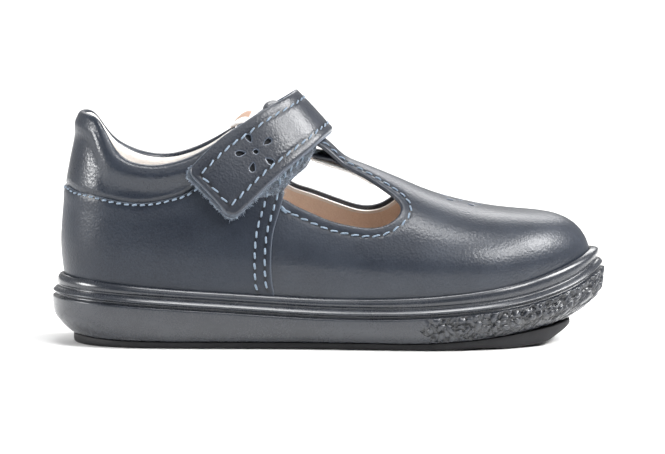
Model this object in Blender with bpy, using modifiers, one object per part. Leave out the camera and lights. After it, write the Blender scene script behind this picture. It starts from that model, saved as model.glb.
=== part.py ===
"""Child's T-bar shoe, right foot: cup sole with a thin tread pad, one hollow
leather upper with two cut-outs and a T-bar that folds round the outer
quarter's tab, an insole, and a closing strap with its two fastener tapes.

The whole upper is worked out from one set of sections. Each section starts at
the floor of the cup, swells to its widest line and closes on the crown line of
the last. Every other curved piece is laid on that same surface."""
import math

import bmesh
import bpy
import numpy as np
from mathutils import Vector, geometry

for old in list(bpy.data.objects):
    bpy.data.objects.remove(old, do_unlink=True)

# ---------------------------------------------------------------------------
# Measured sizes, in millimetres. +X points to the toe, -Y is the outer side,
# +Z is up and the floor is z = 0. The shoe is a right one.
# ---------------------------------------------------------------------------

# moulded ridge of the cup sole seen from above: x, y, heel -> outer side ->
# toe tip -> inner side
RIDGE_OUTLINE = (
    (-78.0, 0.0), (-74.6, -11.6), (-65.2, -20.3), (-51.0, -24.2), (-34.0, -25.0),
    (-15.0, -25.3), (5.0, -27.4), (25.0, -30.2), (42.0, -29.7), (57.0, -24.6),
    (69.3, -15.0), (76.3, -5.0), (78.3, 3.6),
    (76.3, 12.4), (69.0, 21.2), (56.0, 27.9), (40.0, 30.5), (22.0, 28.9),
    (2.0, 24.9), (-18.0, 22.7), (-38.0, 22.9), (-53.0, 22.9), (-66.0, 19.5),
    (-74.7, 11.2))
HEEL_ROW, TOE_ROW = 0, 12

# along the shoe: x, ridge height, roll height above the ridge, height of the
# wall's lower edge, how far that edge lies inside the ridge
SOLE_LONG = (
    (-78.0, 15.4, 4.6, 3.1, 5.1), (-65.0, 14.7, 4.2, 2.4, 3.8),
    (-50.0, 13.8, 3.8, 2.2, 3.0), (-27.0, 12.4, 3.7, 2.2, 2.7),
    (-4.0, 11.1, 3.8, 2.2, 2.6), (10.0, 10.9, 3.9, 2.2, 2.6),
    (26.0, 11.3, 4.1, 2.2, 2.6), (38.0, 12.1, 4.3, 2.8, 2.9),
    (48.0, 13.1, 4.7, 3.7, 3.6), (57.0, 14.5, 5.2, 4.7, 4.7),
    (63.0, 15.9, 5.5, 5.4, 5.8), (69.2, 17.9, 5.8, 6.0, 7.2),
    (75.3, 20.9, 6.0, 6.6, 9.0), (78.3, 23.0, 6.0, 6.8, 9.8))

# side wall of the cup, share of its flare: outwards, upwards
FLARE = ((0.0, 0.0), (0.34, 0.16), (0.64, 0.35), (0.86, 0.53), (0.965, 0.72),
         (1.0, 1.0))

# along the shoe: x, floor of the cup, pad's lower face
FLOOR_LONG = (
    (-78.0, 9.2, 0.0), (-60.0, 8.6, 0.0), (-40.0, 8.0, 0.0), (-20.0, 7.3, 0.0),
    (0.0, 6.8, 0.0), (20.0, 6.6, 0.0), (30.0, 6.7, 0.0), (38.0, 7.2, 0.25),
    (47.5, 8.3, 0.8), (56.8, 9.7, 1.4), (62.0, 10.8, 1.9), (66.0, 11.7, 2.6),
    (70.0, 12.7, 4.0), (78.0, 14.8, 6.0))

# upper, by the x of its widest line: x, gap inside the ridge, widest height,
# tuck at the floor, exponent of height, exponent of width
UPPER_LONG = (
    (-76.0, 2.0, 30.0, 4.0, 1.50, 2.00), (-60.0, 2.1, 28.5, 2.7, 1.50, 2.00),
    (-40.0, 2.2, 26.3, 2.0, 1.50, 2.00), (-15.0, 2.3, 24.2, 1.7, 1.42, 2.00),
    (10.0, 2.4, 22.8, 1.6, 1.45, 2.00), (25.0, 2.3, 22.0, 1.5, 1.65, 2.15),
    (40.0, 2.2, 21.7, 1.3, 1.90, 2.40), (55.0, 2.5, 21.8, 1.1, 1.98, 2.90),
    (65.0, 2.7, 22.3, 0.9, 2.00, 3.20), (75.5, 3.1, 23.0, 0.8, 2.00, 3.50))

# height of the crown line of the last: x, z
CROWN = (
    (-62.0, 88.0), (-55.0, 87.0), (-45.0, 83.5), (-30.0, 75.8), (-23.0, 71.4),
    (-16.0, 66.7), (-10.0, 62.2), (-5.0, 58.5), (0.0, 55.5), (6.4, 52.6),
    (10.3, 51.0), (16.0, 48.6), (21.7, 46.2), (26.4, 44.2), (35.2, 41.2),
    (41.8, 39.5), (50.0, 38.1), (57.0, 37.5), (65.0, 37.25), (72.0, 37.15),
    (80.0, 37.1))

# height of the collar's crest by the x of the widest line: x, z
COLLAR_OUTER = (
    (-76.2, 66.2), (-74.0, 66.0), (-71.6, 65.6), (-69.0, 64.4), (-66.5, 62.0),
    (-63.5, 58.2), (-59.5, 54.7), (-54.0, 52.9), (-49.0, 52.6), (-44.0, 53.4),
    (-38.3, 55.3), (-33.0, 58.0), (-30.0, 59.8), (-27.4, 61.9), (-22.5, 65.4))
COLLAR_INNER = (
    (-76.2, 66.2), (-74.0, 65.9), (-71.8, 65.1), (-69.6, 63.6), (-66.8, 60.9),
    (-63.4, 57.8), (-59.0, 55.2), (-54.3, 53.4), (-49.2, 52.4), (-44.2, 52.6),
    (-39.2, 54.0), (-33.0, 56.9), (-30.0, 58.7), (-27.1, 60.6), (-22.5, 64.0))

SPINE_HEEL, SPINE_TOE, SPINE_SOFT = -55.0, 52.0, 5.5
WALL = 2.0            # leather and lining together
CLEAR = 0.35          # between pieces that lie against each other
CENTRE = (-0.15, -0.02, 0.0)   # puts the sole's middle over the origin
LAT, MED = 0, 1
NU, NP = 361, 161


def cubic(rows, column):
    """Natural cubic through one column of a table, held level past its ends."""
    xs = np.array([r[0] for r in rows], float)
    ys = np.array([r[column] for r in rows], float)
    n, h = len(xs), np.diff(xs)
    a, r = np.eye(n), np.zeros(n)
    for i in range(1, n - 1):
        a[i, i - 1:i + 2] = h[i - 1], 2 * (h[i - 1] + h[i]), h[i]
        r[i] = 6 * ((ys[i + 1] - ys[i]) / h[i] - (ys[i] - ys[i - 1]) / h[i - 1])
    m = np.linalg.solve(a, r)

    def f(x):
        x = np.clip(x, xs[0], xs[-1])
        i = np.clip(np.searchsorted(xs, x) - 1, 0, n - 2)
        p, q = (xs[i + 1] - x) / h[i], (x - xs[i]) / h[i]
        return (p * ys[i] + q * ys[i + 1]
                + ((p ** 3 - p) * m[i] + (q ** 3 - q) * m[i + 1]) * h[i] ** 2 / 6)
    return f


def smooth_curve(points, step, closed=False):
    """Points about `step` apart on a cubic curve through 2-D or 3-D points."""
    pts = np.array(points, float)
    if closed:
        k = 4
        pts = np.vstack([pts[-k:], pts, pts[:k + 1]])
    t = np.concatenate([[0], np.cumsum(np.linalg.norm(np.diff(pts, axis=0), axis=1) ** 0.75)])
    fs = [cubic(list(zip(t, pts[:, c])), 1) for c in range(pts.shape[1])]
    lo, hi = (t[4], t[-5]) if closed else (t[0], t[-1])
    fine = np.linspace(lo, hi, 60 * len(points) + 1)
    dense = np.stack([f(fine) for f in fs], 1)
    s = np.concatenate([[0], np.cumsum(np.linalg.norm(np.diff(dense, axis=0), axis=1))])
    n = max(2, int(round(s[-1] / step)) + 1)
    want = np.linspace(0, s[-1], n)
    out = np.stack([np.interp(want, s, dense[:, c]) for c in range(dense.shape[1])], 1)
    return out[:-1] if closed else out


ridge_z, roll_h = cubic(SOLE_LONG, 1), cubic(SOLE_LONG, 2)
edge_z, edge_in = cubic(SOLE_LONG, 3), cubic(SOLE_LONG, 4)
floor_z, pad_z = cubic(FLOOR_LONG, 1), cubic(FLOOR_LONG, 2)
up_gap, up_wide = cubic(UPPER_LONG, 1), cubic(UPPER_LONG, 2)
up_tuck, up_a, up_b = (cubic(UPPER_LONG, k) for k in (3, 4, 5))
crown_z = cubic(CROWN, 1)
collar_z = (cubic(COLLAR_OUTER, 1), cubic(COLLAR_INNER, 1))
flare_out = np.array([r[0] for r in FLARE])
flare_up = np.array([r[1] for r in FLARE])


def ridge_sides():
    """The ridge outline as two sides, NU points each from heel to toe, with
    the directions that point straight out of it."""
    pts = np.array(RIDGE_OUTLINE, float)
    n = len(pts)
    ext = np.vstack([pts, pts, pts])
    t = np.concatenate([[0], np.cumsum(np.linalg.norm(np.diff(ext, axis=0), axis=1))])
    fx, fy = (cubic(list(zip(t, ext[:, c])), 1) for c in (0, 1))
    heel, toe, back = t[n + HEEL_ROW], t[n + TOE_ROW], t[2 * n + HEEL_ROW]
    sides = []
    for a, b in ((heel, toe), (back, toe)):
        q = np.linspace(a, b, 4001)
        p = np.stack([fx(q), fy(q)], 1)
        s = np.concatenate([[0], np.cumsum(np.linalg.norm(np.diff(p, axis=0), axis=1))])
        want = np.linspace(0, s[-1], NU)
        qq = np.interp(want, s, q)
        p = np.stack([fx(qq), fy(qq)], 1)
        e = 0.02
        d = np.stack([fx(qq + e) - fx(qq - e), fy(qq + e) - fy(qq - e)], 1)
        d /= np.linalg.norm(d, axis=1)[:, None]
        sides.append((p, np.stack([d[:, 1], -d[:, 0]], 1)))
    return (np.stack([sides[0][0], sides[1][0]]), np.stack([sides[0][1], sides[1][1]]))


RIDGE, OUT = ridge_sides()
SIDE_LEN = [float(np.linalg.norm(np.diff(RIDGE[s], axis=0), axis=1).sum()) for s in (LAT, MED)]
U = np.linspace(0.0, 1.0, NU)
WIDE = RIDGE - OUT * up_gap(RIDGE[..., 0])[..., None]


def soft_clamp(x):
    k = SPINE_SOFT
    x = SPINE_TOE - k * np.log1p(np.exp((SPINE_TOE - x) / k))
    x = SPINE_HEEL + k * np.log1p(np.exp((x - SPINE_HEEL) / k))
    return x


def soft_min(x, top, k):
    return top - k * np.log1p(np.exp((top - x) / k))


def spine():
    mid = 0.5 * (WIDE[LAT] + WIDE[MED])
    x = mid[:, 0]
    k = SPINE_SOFT
    x = -(k * np.logaddexp(-x / k, -SPINE_TOE / k))
    x = k * np.logaddexp(x / k, SPINE_HEEL / k)
    return np.stack([x, 0.6 * mid[:, 1]], 1)


SPINE = spine()


def upper_grid():
    """The outer face of the upper on both sides: for each of NU sections, NP
    points evenly spaced from the lower edge to the crown."""
    pos = np.zeros((2, NU, NP, 3))
    length = np.zeros((2, NU))
    t = np.linspace(0, 1, 260)
    phi = 0.5 * math.pi * (1 - (1 - t) ** 2)
    low = np.linspace(0, 1, 60)[:-1]
    for s in (LAT, MED):
        for j in range(NU):
            q, c, n = WIDE[s, j], SPINE[j], OUT[s, j]
            x = q[0]
            zw, a, b, tuck = up_wide(x), up_a(x), up_b(x), up_tuck(x)
            z0 = floor_z(x) + CLEAR
            rho, v = np.cos(phi) ** (2 / b), np.sin(phi) ** (2 / a)
            rho[-1], v[-1] = 0.0, 1.0
            plan = c + rho[:, None] * (q - c)
            top = np.column_stack([plan, zw + (crown_z(plan[:, 0]) - zw) * v])
            k = (1 - low) ** 2
            bot = np.column_stack([q - n * (tuck * k)[:, None], z0 + (zw - z0) * low])
            p = np.vstack([bot, top])
            d = np.concatenate([[0], np.cumsum(np.linalg.norm(np.diff(p, axis=0), axis=1))])
            want = np.linspace(0, d[-1], NP)
            for k3 in range(3):
                pos[s, j, :, k3] = np.interp(want, d, p[:, k3])
            length[s, j] = d[-1]
    return pos, length


POS, LEN = upper_grid()


def grid_normals(pos):
    du, dp = np.gradient(pos, axis=1), np.gradient(pos, axis=2)
    nrm = np.cross(du, dp)
    nrm[MED] *= -1
    nrm /= np.linalg.norm(nrm, axis=-1)[..., None] + 1e-12
    crown = nrm[LAT, :, -3] + nrm[MED, :, -3]
    crown /= np.linalg.norm(crown, axis=-1)[:, None]
    for k, w in ((-1, 1.0), (-2, 0.6)):
        for s in (LAT, MED):
            m = nrm[s, :, -3] * (1 - w) + crown * w
            nrm[s, :, k] = m / np.linalg.norm(m, axis=-1)[:, None]
    for j in (0, -1):
        m = nrm[LAT, j] + nrm[MED, j]
        nrm[:, j] = m / np.linalg.norm(m, axis=-1)[:, None]
    return nrm


NRM = grid_normals(POS)
DIR = WIDE - SPINE[None]
DIR /= np.linalg.norm(DIR, axis=-1)[..., None]


def blend2(table, side, u, p):
    """Table values between grid points."""
    a = np.clip(np.asarray(u, float), 0, 1) * (NU - 1)
    b = np.clip(np.asarray(p, float), 0, 1) * (NP - 1)
    i, j = np.minimum(a.astype(int), NU - 2), np.minimum(b.astype(int), NP - 2)
    fa, fb = (a - i)[..., None], (b - j)[..., None]
    return ((table[side, i, j] * (1 - fa) + table[side, i + 1, j] * fa) * (1 - fb)
            + (table[side, i, j + 1] * (1 - fa) + table[side, i + 1, j + 1] * fa) * fb)


def skin(side, u, p, off=0.0):
    """Point on the upper's outer face, moved `off` out along the normal."""
    n = blend2(NRM, side, u, p)
    n /= np.linalg.norm(n, axis=-1)[..., None]
    return blend2(POS, side, u, p) + n * np.asarray(off)[..., None], n


def along_u(table, side, u):
    a = np.clip(np.asarray(u, float), 0, 1) * (NU - 1)
    i = np.minimum(a.astype(int), NU - 2)
    f = a - i
    if table.ndim > 2:
        f = f[..., None]
    return table[side, i] * (1 - f) + table[side, i + 1] * f


SPINE2 = np.stack([SPINE, SPINE])


def chart(side, u, p):
    """The upper laid flat: the crown line from above, with each section
    rolled out from it."""
    side = np.asarray(side)
    d = along_u(DIR, side, u)
    d /= np.linalg.norm(d, axis=-1)[..., None]
    return (along_u(SPINE2, side, u)
            + d * ((1 - np.asarray(p)) * along_u(LEN, side, u))[..., None])


def unchart(xy):
    """Side, section and place on it of points of the flat layout."""
    xy = np.asarray(xy, float).reshape(-1, 2)
    n = len(xy)
    best = np.full(n, 1e9)
    side, uu, pp = np.zeros(n, int), np.zeros(n), np.zeros(n)
    for a in range(0, n, 4000):
        part = xy[a:a + 4000]
        for s in (LAT, MED):
            rel = part[:, None, :] - SPINE[None]
            d = DIR[s][None]
            f = d[..., 0] * rel[..., 1] - d[..., 1] * rel[..., 0]
            al = (d * rel).sum(-1)
            change = (f[:, :-1] * f[:, 1:] <= 0) & (al[:, :-1] > -0.6)
            cost = np.where(change, np.abs(al[:, :-1]), 1e9)
            j = cost.argmin(1)
            r = np.arange(len(part))
            found = cost[r, j] < 1e8
            g = np.where(found, f[r, j] / (f[r, j] - f[r, np.minimum(j + 1, NU - 1)] + 1e-15), 0.0)
            miss = np.where(al > -0.6, np.abs(f), 1e9).argmin(1)
            j2 = np.where(found, j, miss)
            g = np.clip(np.where(found, g, 0.0), 0, 1)
            u = (j2 + g) / (NU - 1)
            al2 = al[r, j2] * (1 - g) + al[r, np.minimum(j2 + 1, NU - 1)] * g
            c = np.where(found, np.abs(al2), 1e5 + np.abs(f[r, j2]))
            better = c < best[a:a + 4000]
            idx = a + np.where(better)[0]
            best[idx] = c[better]
            side[idx], uu[idx] = s, u[better]
            pp[idx] = 1 - al2[better] / along_u(LEN, np.full(better.sum(), s), u[better])
    return side, uu, pp


def on_chart(xy, off=0.0):
    """3-D points and normals over points of the flat layout."""
    s, u, p = unchart(xy)
    return skin(s, u, p, off)


def find_side(side, x, z, off=0.0):
    """Flat-layout points whose 3-D place, `off` above the leather, has the
    given x and z as seen from the side."""
    x, z = np.atleast_1d(x).astype(float), np.atleast_1d(z).astype(float)
    off = np.broadcast_to(np.asarray(off, float), x.shape)
    us, ps = np.linspace(0, 1, 121), np.linspace(0, 1, 81)
    gu, gp = np.meshgrid(us, ps, indexing="ij")
    base, nor = skin(np.full(gu.shape, side), gu, gp)
    out = []
    for xi, zi, oi in zip(x, z, off):
        q = base + nor * oi
        k = ((q[..., 0] - xi) ** 2 + (q[..., 2] - zi) ** 2).argmin()
        u, p = gu.flat[k], gp.flat[k]
        for _ in range(12):
            f = skin(side, u, p, oi)[0][[0, 2]] - (xi, zi)
            e = 1e-3
            a = (skin(side, u + e, p, oi)[0] - skin(side, u - e, p, oi)[0])[[0, 2]] / (2 * e)
            b = (skin(side, u, p + e, oi)[0] - skin(side, u, p - e, oi)[0])[[0, 2]] / (2 * e)
            m = np.column_stack([a, b])
            step = np.linalg.lstsq(m, f, rcond=1e-3)[0]
            step = np.clip(step, -0.03, 0.03)
            u, p = float(np.clip(u - step[0], 0, 1)), float(np.clip(p - step[1], 0, 1))
        out.append(chart(side, u, p))
    return np.array(out)


def rise(side, u, z):
    """Place on a section at which the leather's outer face has height z."""
    prof = along_u(POS, np.full(np.shape(u), side), u) if np.ndim(u) == 0 else None
    if prof is not None:
        return float(np.interp(z, prof[:, 2], np.linspace(0, 1, NP)))
    return np.array([rise(side, float(a), float(b)) for a, b in zip(u, z)])


# ---------------------------------------------------------------------------
# Opening of the upper in the flat layout (x along the shoe, y rolled out from
# the crown line), one table for each run of the edge.
# ---------------------------------------------------------------------------

# outer tab: from the collar over the crown, round its end and back to the
# rear corner of the cut-out: x, y
OUTER_TAB = (
    (-25.2, -16.2), (-21.2, -10.6), (-17.6, -5.2), (-15.2, -0.6), (-14.4, 2.2),
    (-13.2, 4.4), (-10.8, 5.2), (-7.4, 5.2), (-4.9, 4.3), (-3.6, 2.3),
    (-2.9, -0.8), (-3.1, -5.0), (-3.8, -9.0), (-4.7, -12.3), (-5.6, -15.2),
    (-7.2, -18.2), (-9.3, -21.8), (-10.8, -24.8), (-12.2, -27.8))
# outer cut-out, round its front and back along the T-bar: x, y
OUTER_CUT = (
    (-12.0, -30.1), (-9.6, -30.1), (-4.7, -29.4), (0.7, -29.2), (7.0, -28.9),
    (12.6, -28.2), (15.9, -26.8), (18.9, -24.2), (20.6, -21.3), (20.9, -18.2),
    (19.4, -15.6), (16.4, -13.2), (11.8, -10.4), (6.4, -8.5), (3.4, -8.0))
# inner cut-out, from the T-bar round its front to the rear corner: x, y
INNER_CUT = (
    (3.4, 7.0), (6.4, 7.4), (11.8, 9.3), (15.8, 11.8), (18.2, 14.2),
    (18.9, 16.8), (17.4, 19.8), (14.9, 22.3), (12.1, 23.7), (8.6, 24.1),
    (5.0, 23.6), (0.0, 23.0), (-5.7, 23.5), (-9.6, 24.6), (-12.2, 24.6))
# inner tab, from the cut-out round its end to the collar: x, y
INNER_TAB = (
    (-12.6, 22.6), (-10.8, 18.8), (-8.2, 14.2), (-6.9, 11.6), (-7.4, 9.8),
    (-9.4, 9.0), (-13.6, 9.0), (-16.2, 9.4), (-18.8, 10.6), (-22.0, 12.9),
    (-25.2, 16.0))

# closing strap, outer end -> inner end: rear edge x, y, front edge x, y,
# height of its underside above the leather at the rear and at the front
STRAP = (
    (-39.6, -39.2, -27.2, -46.0, 2.30, 2.30),
    (-36.1, -34.3, -23.4, -40.6, 2.30, 2.30),
    (-30.5, -25.9, -17.7, -31.4, 2.40, 2.35),
    (-25.6, -19.2, -13.1, -24.0, 2.75, 2.50),
    (-20.8, -12.3, -8.2, -16.2, 3.80, 2.90),
    (-16.7, -6.2, -3.7, -8.0, 5.10, 3.50),
    (-15.0, 0.0, -1.2, 0.0, 5.50, 3.80),
    (-16.8, 6.2, -3.9, 8.0, 4.90, 3.30),
    (-20.5, 12.0, -8.0, 15.6, 3.10, 2.30),
    (-25.2, 18.6, -12.8, 22.6, 1.20, 1.00),
    (-29.6, 24.6, -17.2, 29.4, 0.50, 0.50),
    (-33.2, 30.0, -20.8, 35.6, 0.50, 0.50))
STRAP_THICK = 1.8

# soft tape on the outer tab: y, rear x, front x
LOOP_TAPE = (
    (-8.6, -17.5, -4.6), (-12.0, -20.0, -5.5), (-17.0, -23.2, -7.4),
    (-22.3, -26.6, -10.4), (-27.0, -29.6, -12.6), (-31.0, -32.0, -15.0),
    (-36.0, -34.6, -21.2))
TAPE_THICK = 0.7

# folded loop of the T-bar, seen from the side: x, height above the leather
LOOP_FOLD = (
    (7.6, -0.25), (4.6, 0.25), (1.8, 1.35), (-1.0, 2.15), (-4.0, 2.3),
    (-12.0, 2.3), (-15.4, 2.1), (-17.6, 1.1), (-18.5, -0.7), (-17.6, -2.5),
    (-15.4, -3.5), (-12.0, -3.75), (-4.0, -3.75), (0.6, -3.3), (4.2, -2.2),
    (7.6, -1.75),
    (5.0, -1.3), (2.6, -1.5), (0.0, -2.35), (-4.0, -2.6), (-12.0, -2.6),
    (-14.8, -2.4), (-16.2, -1.8), (-16.7, -0.9), (-16.2, 0.0), (-14.8, 0.4),
    (-12.0, 0.5), (-4.0, 0.5), (-0.6, 0.3), (2.2, -0.4), (5.0, -0.9))
LOOP_HALF = 6.8

STATIONS = 41          # sections on each side of a loft
MESH_STEP = 4.6        # spacing of points on the upper


def new_object(name, verts, faces, colour, rough, group):
    mesh = bpy.data.meshes.new(name)
    mesh.from_pydata([tuple(float(c + d) * 0.001 for c, d in zip(v, CENTRE)) for v in verts],
                     [], faces)
    mesh.update()
    bm = bmesh.new()
    bm.from_mesh(mesh)
    bmesh.ops.recalc_face_normals(bm, faces=bm.faces)
    bm.to_mesh(mesh)
    bm.free()
    obj = bpy.data.objects.new(name, mesh)
    group.objects.link(obj)
    mat = bpy.data.materials.new(name)
    mat.use_nodes = True
    shader = mat.node_tree.nodes["Principled BSDF"]
    shader.inputs["Base Color"].default_value = (*colour, 1.0)
    shader.inputs["Roughness"].default_value = rough
    shader.inputs["Metallic"].default_value = 0.0
    mat.diffuse_color = (*colour, 1.0)
    mesh.materials.append(mat)
    mesh.shade_smooth()
    mesh.set_sharp_from_angle(angle=math.radians(42))
    return obj


def stations():
    return np.linspace(0.0, 1.0, STATIONS)


def lofted(name, rings, colour, rough, group, across=4):
    """Closed solid from rings. Each ring is a pair of point rows, outer and
    inner side, heel to toe, which share their ends. The first and the last
    ring are closed by strips across the shoe."""
    verts, faces = [], []
    n = STATIONS

    def ring_ids(ring):
        start = len(verts)
        verts.extend(ring[LAT])
        verts.extend(ring[MED][1:-1])
        lat = [start + i for i in range(n)]
        med = [lat[0]] + [start + n + i for i in range(n - 2)] + [lat[-1]]
        return lat, med

    ids = [ring_ids(r) for r in rings]
    for (la, ma), (lb, mb) in zip(ids, ids[1:]):
        for a, b in ((la, lb), (ma, mb)):
            for i in range(n - 1):
                faces.append((a[i], a[i + 1], b[i + 1], b[i]))
    for (lat, med), ring in ((ids[0], rings[0]), (ids[-1], rings[-1])):
        rows = [lat]
        for k in range(1, across):
            t = k / across
            start = len(verts)
            inner = [np.asarray(ring[LAT][i]) * (1 - t) + np.asarray(ring[MED][i]) * t
                     for i in range(1, n - 1)]
            verts.extend(inner)
            rows.append([lat[0]] + [start + i for i in range(n - 2)] + [lat[-1]])
        rows.append(med)
        for a, b in zip(rows, rows[1:]):
            faces.append((a[0], a[1], b[1]))
            for i in range(1, n - 2):
                faces.append((a[i], a[i + 1], b[i + 1], b[i]))
            faces.append((a[n - 2], a[n - 1], b[n - 2]))
    return new_object(name, verts, faces, colour, rough, group)


def sole_ring(inset, height):
    """Ring at a distance outside the moulded ridge; both arguments are
    functions of x on the ridge."""
    ring = []
    for s in (LAT, MED):
        u = stations()
        p, d = along_u(RIDGE, np.full(len(u), s), u), along_u(OUT, np.full(len(u), s), u)
        d /= np.linalg.norm(d, axis=1)[:, None]
        x = p[:, 0]
        ring.append(np.column_stack([p + d * inset(x)[:, None], height(x)]))
    return ring


def wall_ring(height, off):
    """Ring on the upper's outer face at a height, moved out or in. `height`
    is a function of x on the widest line."""
    ring = []
    for s in (LAT, MED):
        u = stations()
        x = along_u(WIDE, np.full(len(u), s), u)[:, 0]
        z = height(x)
        p = rise(s, u, z)
        pt, nrm = skin(np.full(len(u), s), u, p)
        flat = nrm[:, :2] / np.linalg.norm(nrm[:, :2], axis=1)[:, None]
        pt[:, :2] += flat * off
        pt[:, 2] = z
        ring.append(pt)
    return ring


def crest_z(x):
    return ridge_z(x) + roll_h(x)


def middle_z(x):
    return 0.5 * (floor_z(x) + crest_z(x))


def flare(k):
    """Ring k of the side wall between its lower edge and its bulge."""
    def out(x):
        return -edge_in(x) + (0.4 + edge_in(x)) * FLARE[k][0]

    def high(x):
        return edge_z(x) + (ridge_z(x) - 3.2 - edge_z(x)) * FLARE[k][1]
    return sole_ring(out, high)


def const(v):
    return lambda x: np.full(np.shape(x), float(v))


def make_cup(group):
    rings = [flare(k) for k in range(len(FLARE))]
    for d, dz in ((0.3, -1.85), (-0.7, -1.1), (0.0, 0.0), (-1.25, 1.15)):
        rings.append(sole_ring(const(d), lambda x, dz=dz: ridge_z(x) + dz))
    rings.append(sole_ring(const(-1.0), lambda x: ridge_z(x) + 1.9))
    rings.append(sole_ring(const(-1.35), lambda x: ridge_z(x) + 0.76 * roll_h(x)))
    rings.append(wall_ring(crest_z, CLEAR + 0.35))
    rings.append(wall_ring(lambda x: crest_z(x) - 0.6, CLEAR + 0.05))
    rings.append(wall_ring(middle_z, CLEAR + 0.05))
    rings.append(wall_ring(lambda x: floor_z(x) + CLEAR, CLEAR + 0.05))
    bottom = wall_ring(lambda x: floor_z(x) + CLEAR, CLEAR + 0.05)
    for s in (LAT, MED):
        bottom[s][:, 2] -= CLEAR
    rings[-1] = bottom
    return lofted("cup_sole", rings, (0.075, 0.08, 0.095), 0.42, group)


def flat_pad_z(x):
    """Lower face of the tread pad: on the floor up to the ball, then rising."""
    return np.where(x < 30.0, 0.0, np.maximum(0.0, pad_z(x)))


def make_pad(group):
    def inset(extra):
        return lambda x: -(edge_in(x) + extra)
    top = lambda x: edge_z(x) - 0.3 - 0.3 * np.clip((x - 40.0) / 20.0, 0, 1)
    rings = [sole_ring(inset(0.6), top),
             sole_ring(inset(0.6), lambda x: flat_pad_z(x) * 0.6 + top(x) * 0.4),
             sole_ring(inset(1.3), flat_pad_z)]
    return lofted("outsole", rings, (0.02, 0.02, 0.022), 0.7, group)


def make_insole(group):
    low = lambda x: floor_z(x) + CLEAR
    rings = []
    for up, off in ((0.0, -(WALL + 0.9)), (0.5, -(WALL + 0.45)), (2.3, -(WALL + 0.45)), (2.9, -(WALL + 1.1))):
        ring = wall_ring(lambda x: floor_z(x) + 1.5, off)
        for s in (LAT, MED):
            x = along_u(WIDE, np.full(STATIONS, s), stations())[:, 0]
            ring[s][:, 2] = low(x) + up
        rings.append(ring)
    return lofted("insole", rings, (0.46, 0.31, 0.22), 0.75, group)


def collar_run(side):
    """Crest of the collar in the flat layout, from the heel to the tab."""
    last = float(np.interp(-26.4, WIDE[side, :, 0], U))
    u = np.linspace(0, last, 60)
    x = along_u(WIDE, np.full(len(u), side), u)[:, 0]
    p = rise(side, u, collar_z[side](x))
    return chart(np.full(len(u), side), u, p)


def resample(points, step):
    s = np.concatenate([[0], np.cumsum(np.linalg.norm(np.diff(points, axis=0), axis=1))])
    n = max(2, int(round(s[-1] / step)) + 1)
    w = np.linspace(0, s[-1], n)
    return np.column_stack([np.interp(w, s, points[:, 0]), np.interp(w, s, points[:, 1])])


def opening(step):
    """The single edge that runs round collar, tabs, cut-outs and T-bar."""
    runs = [resample(collar_run(LAT), step),
            smooth_curve(OUTER_TAB, step), smooth_curve(OUTER_CUT, step),
            smooth_curve(INNER_CUT, step), smooth_curve(INNER_TAB, step),
            resample(collar_run(MED)[::-1], step)[:-1]]
    pts = [runs[0]]
    for run in runs[1:]:
        if np.linalg.norm(run[0] - pts[-1][-1]) < 0.35 * step:
            run = run[1:]
        pts.append(run)
    return np.vstack(pts)


def inside(points, loop):
    """Which points of the flat layout lie inside a closed loop."""
    x, y = points[:, 0][:, None], points[:, 1][:, None]
    a, b = loop, np.roll(loop, -1, axis=0)
    cross = ((a[:, 1] > y) != (b[:, 1] > y))
    t = (y - a[:, 1]) / (b[:, 1] - a[:, 1] + 1e-12)
    return (cross & (x < a[:, 0] + t * (b[:, 0] - a[:, 0]))).sum(1) % 2 == 1


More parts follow.
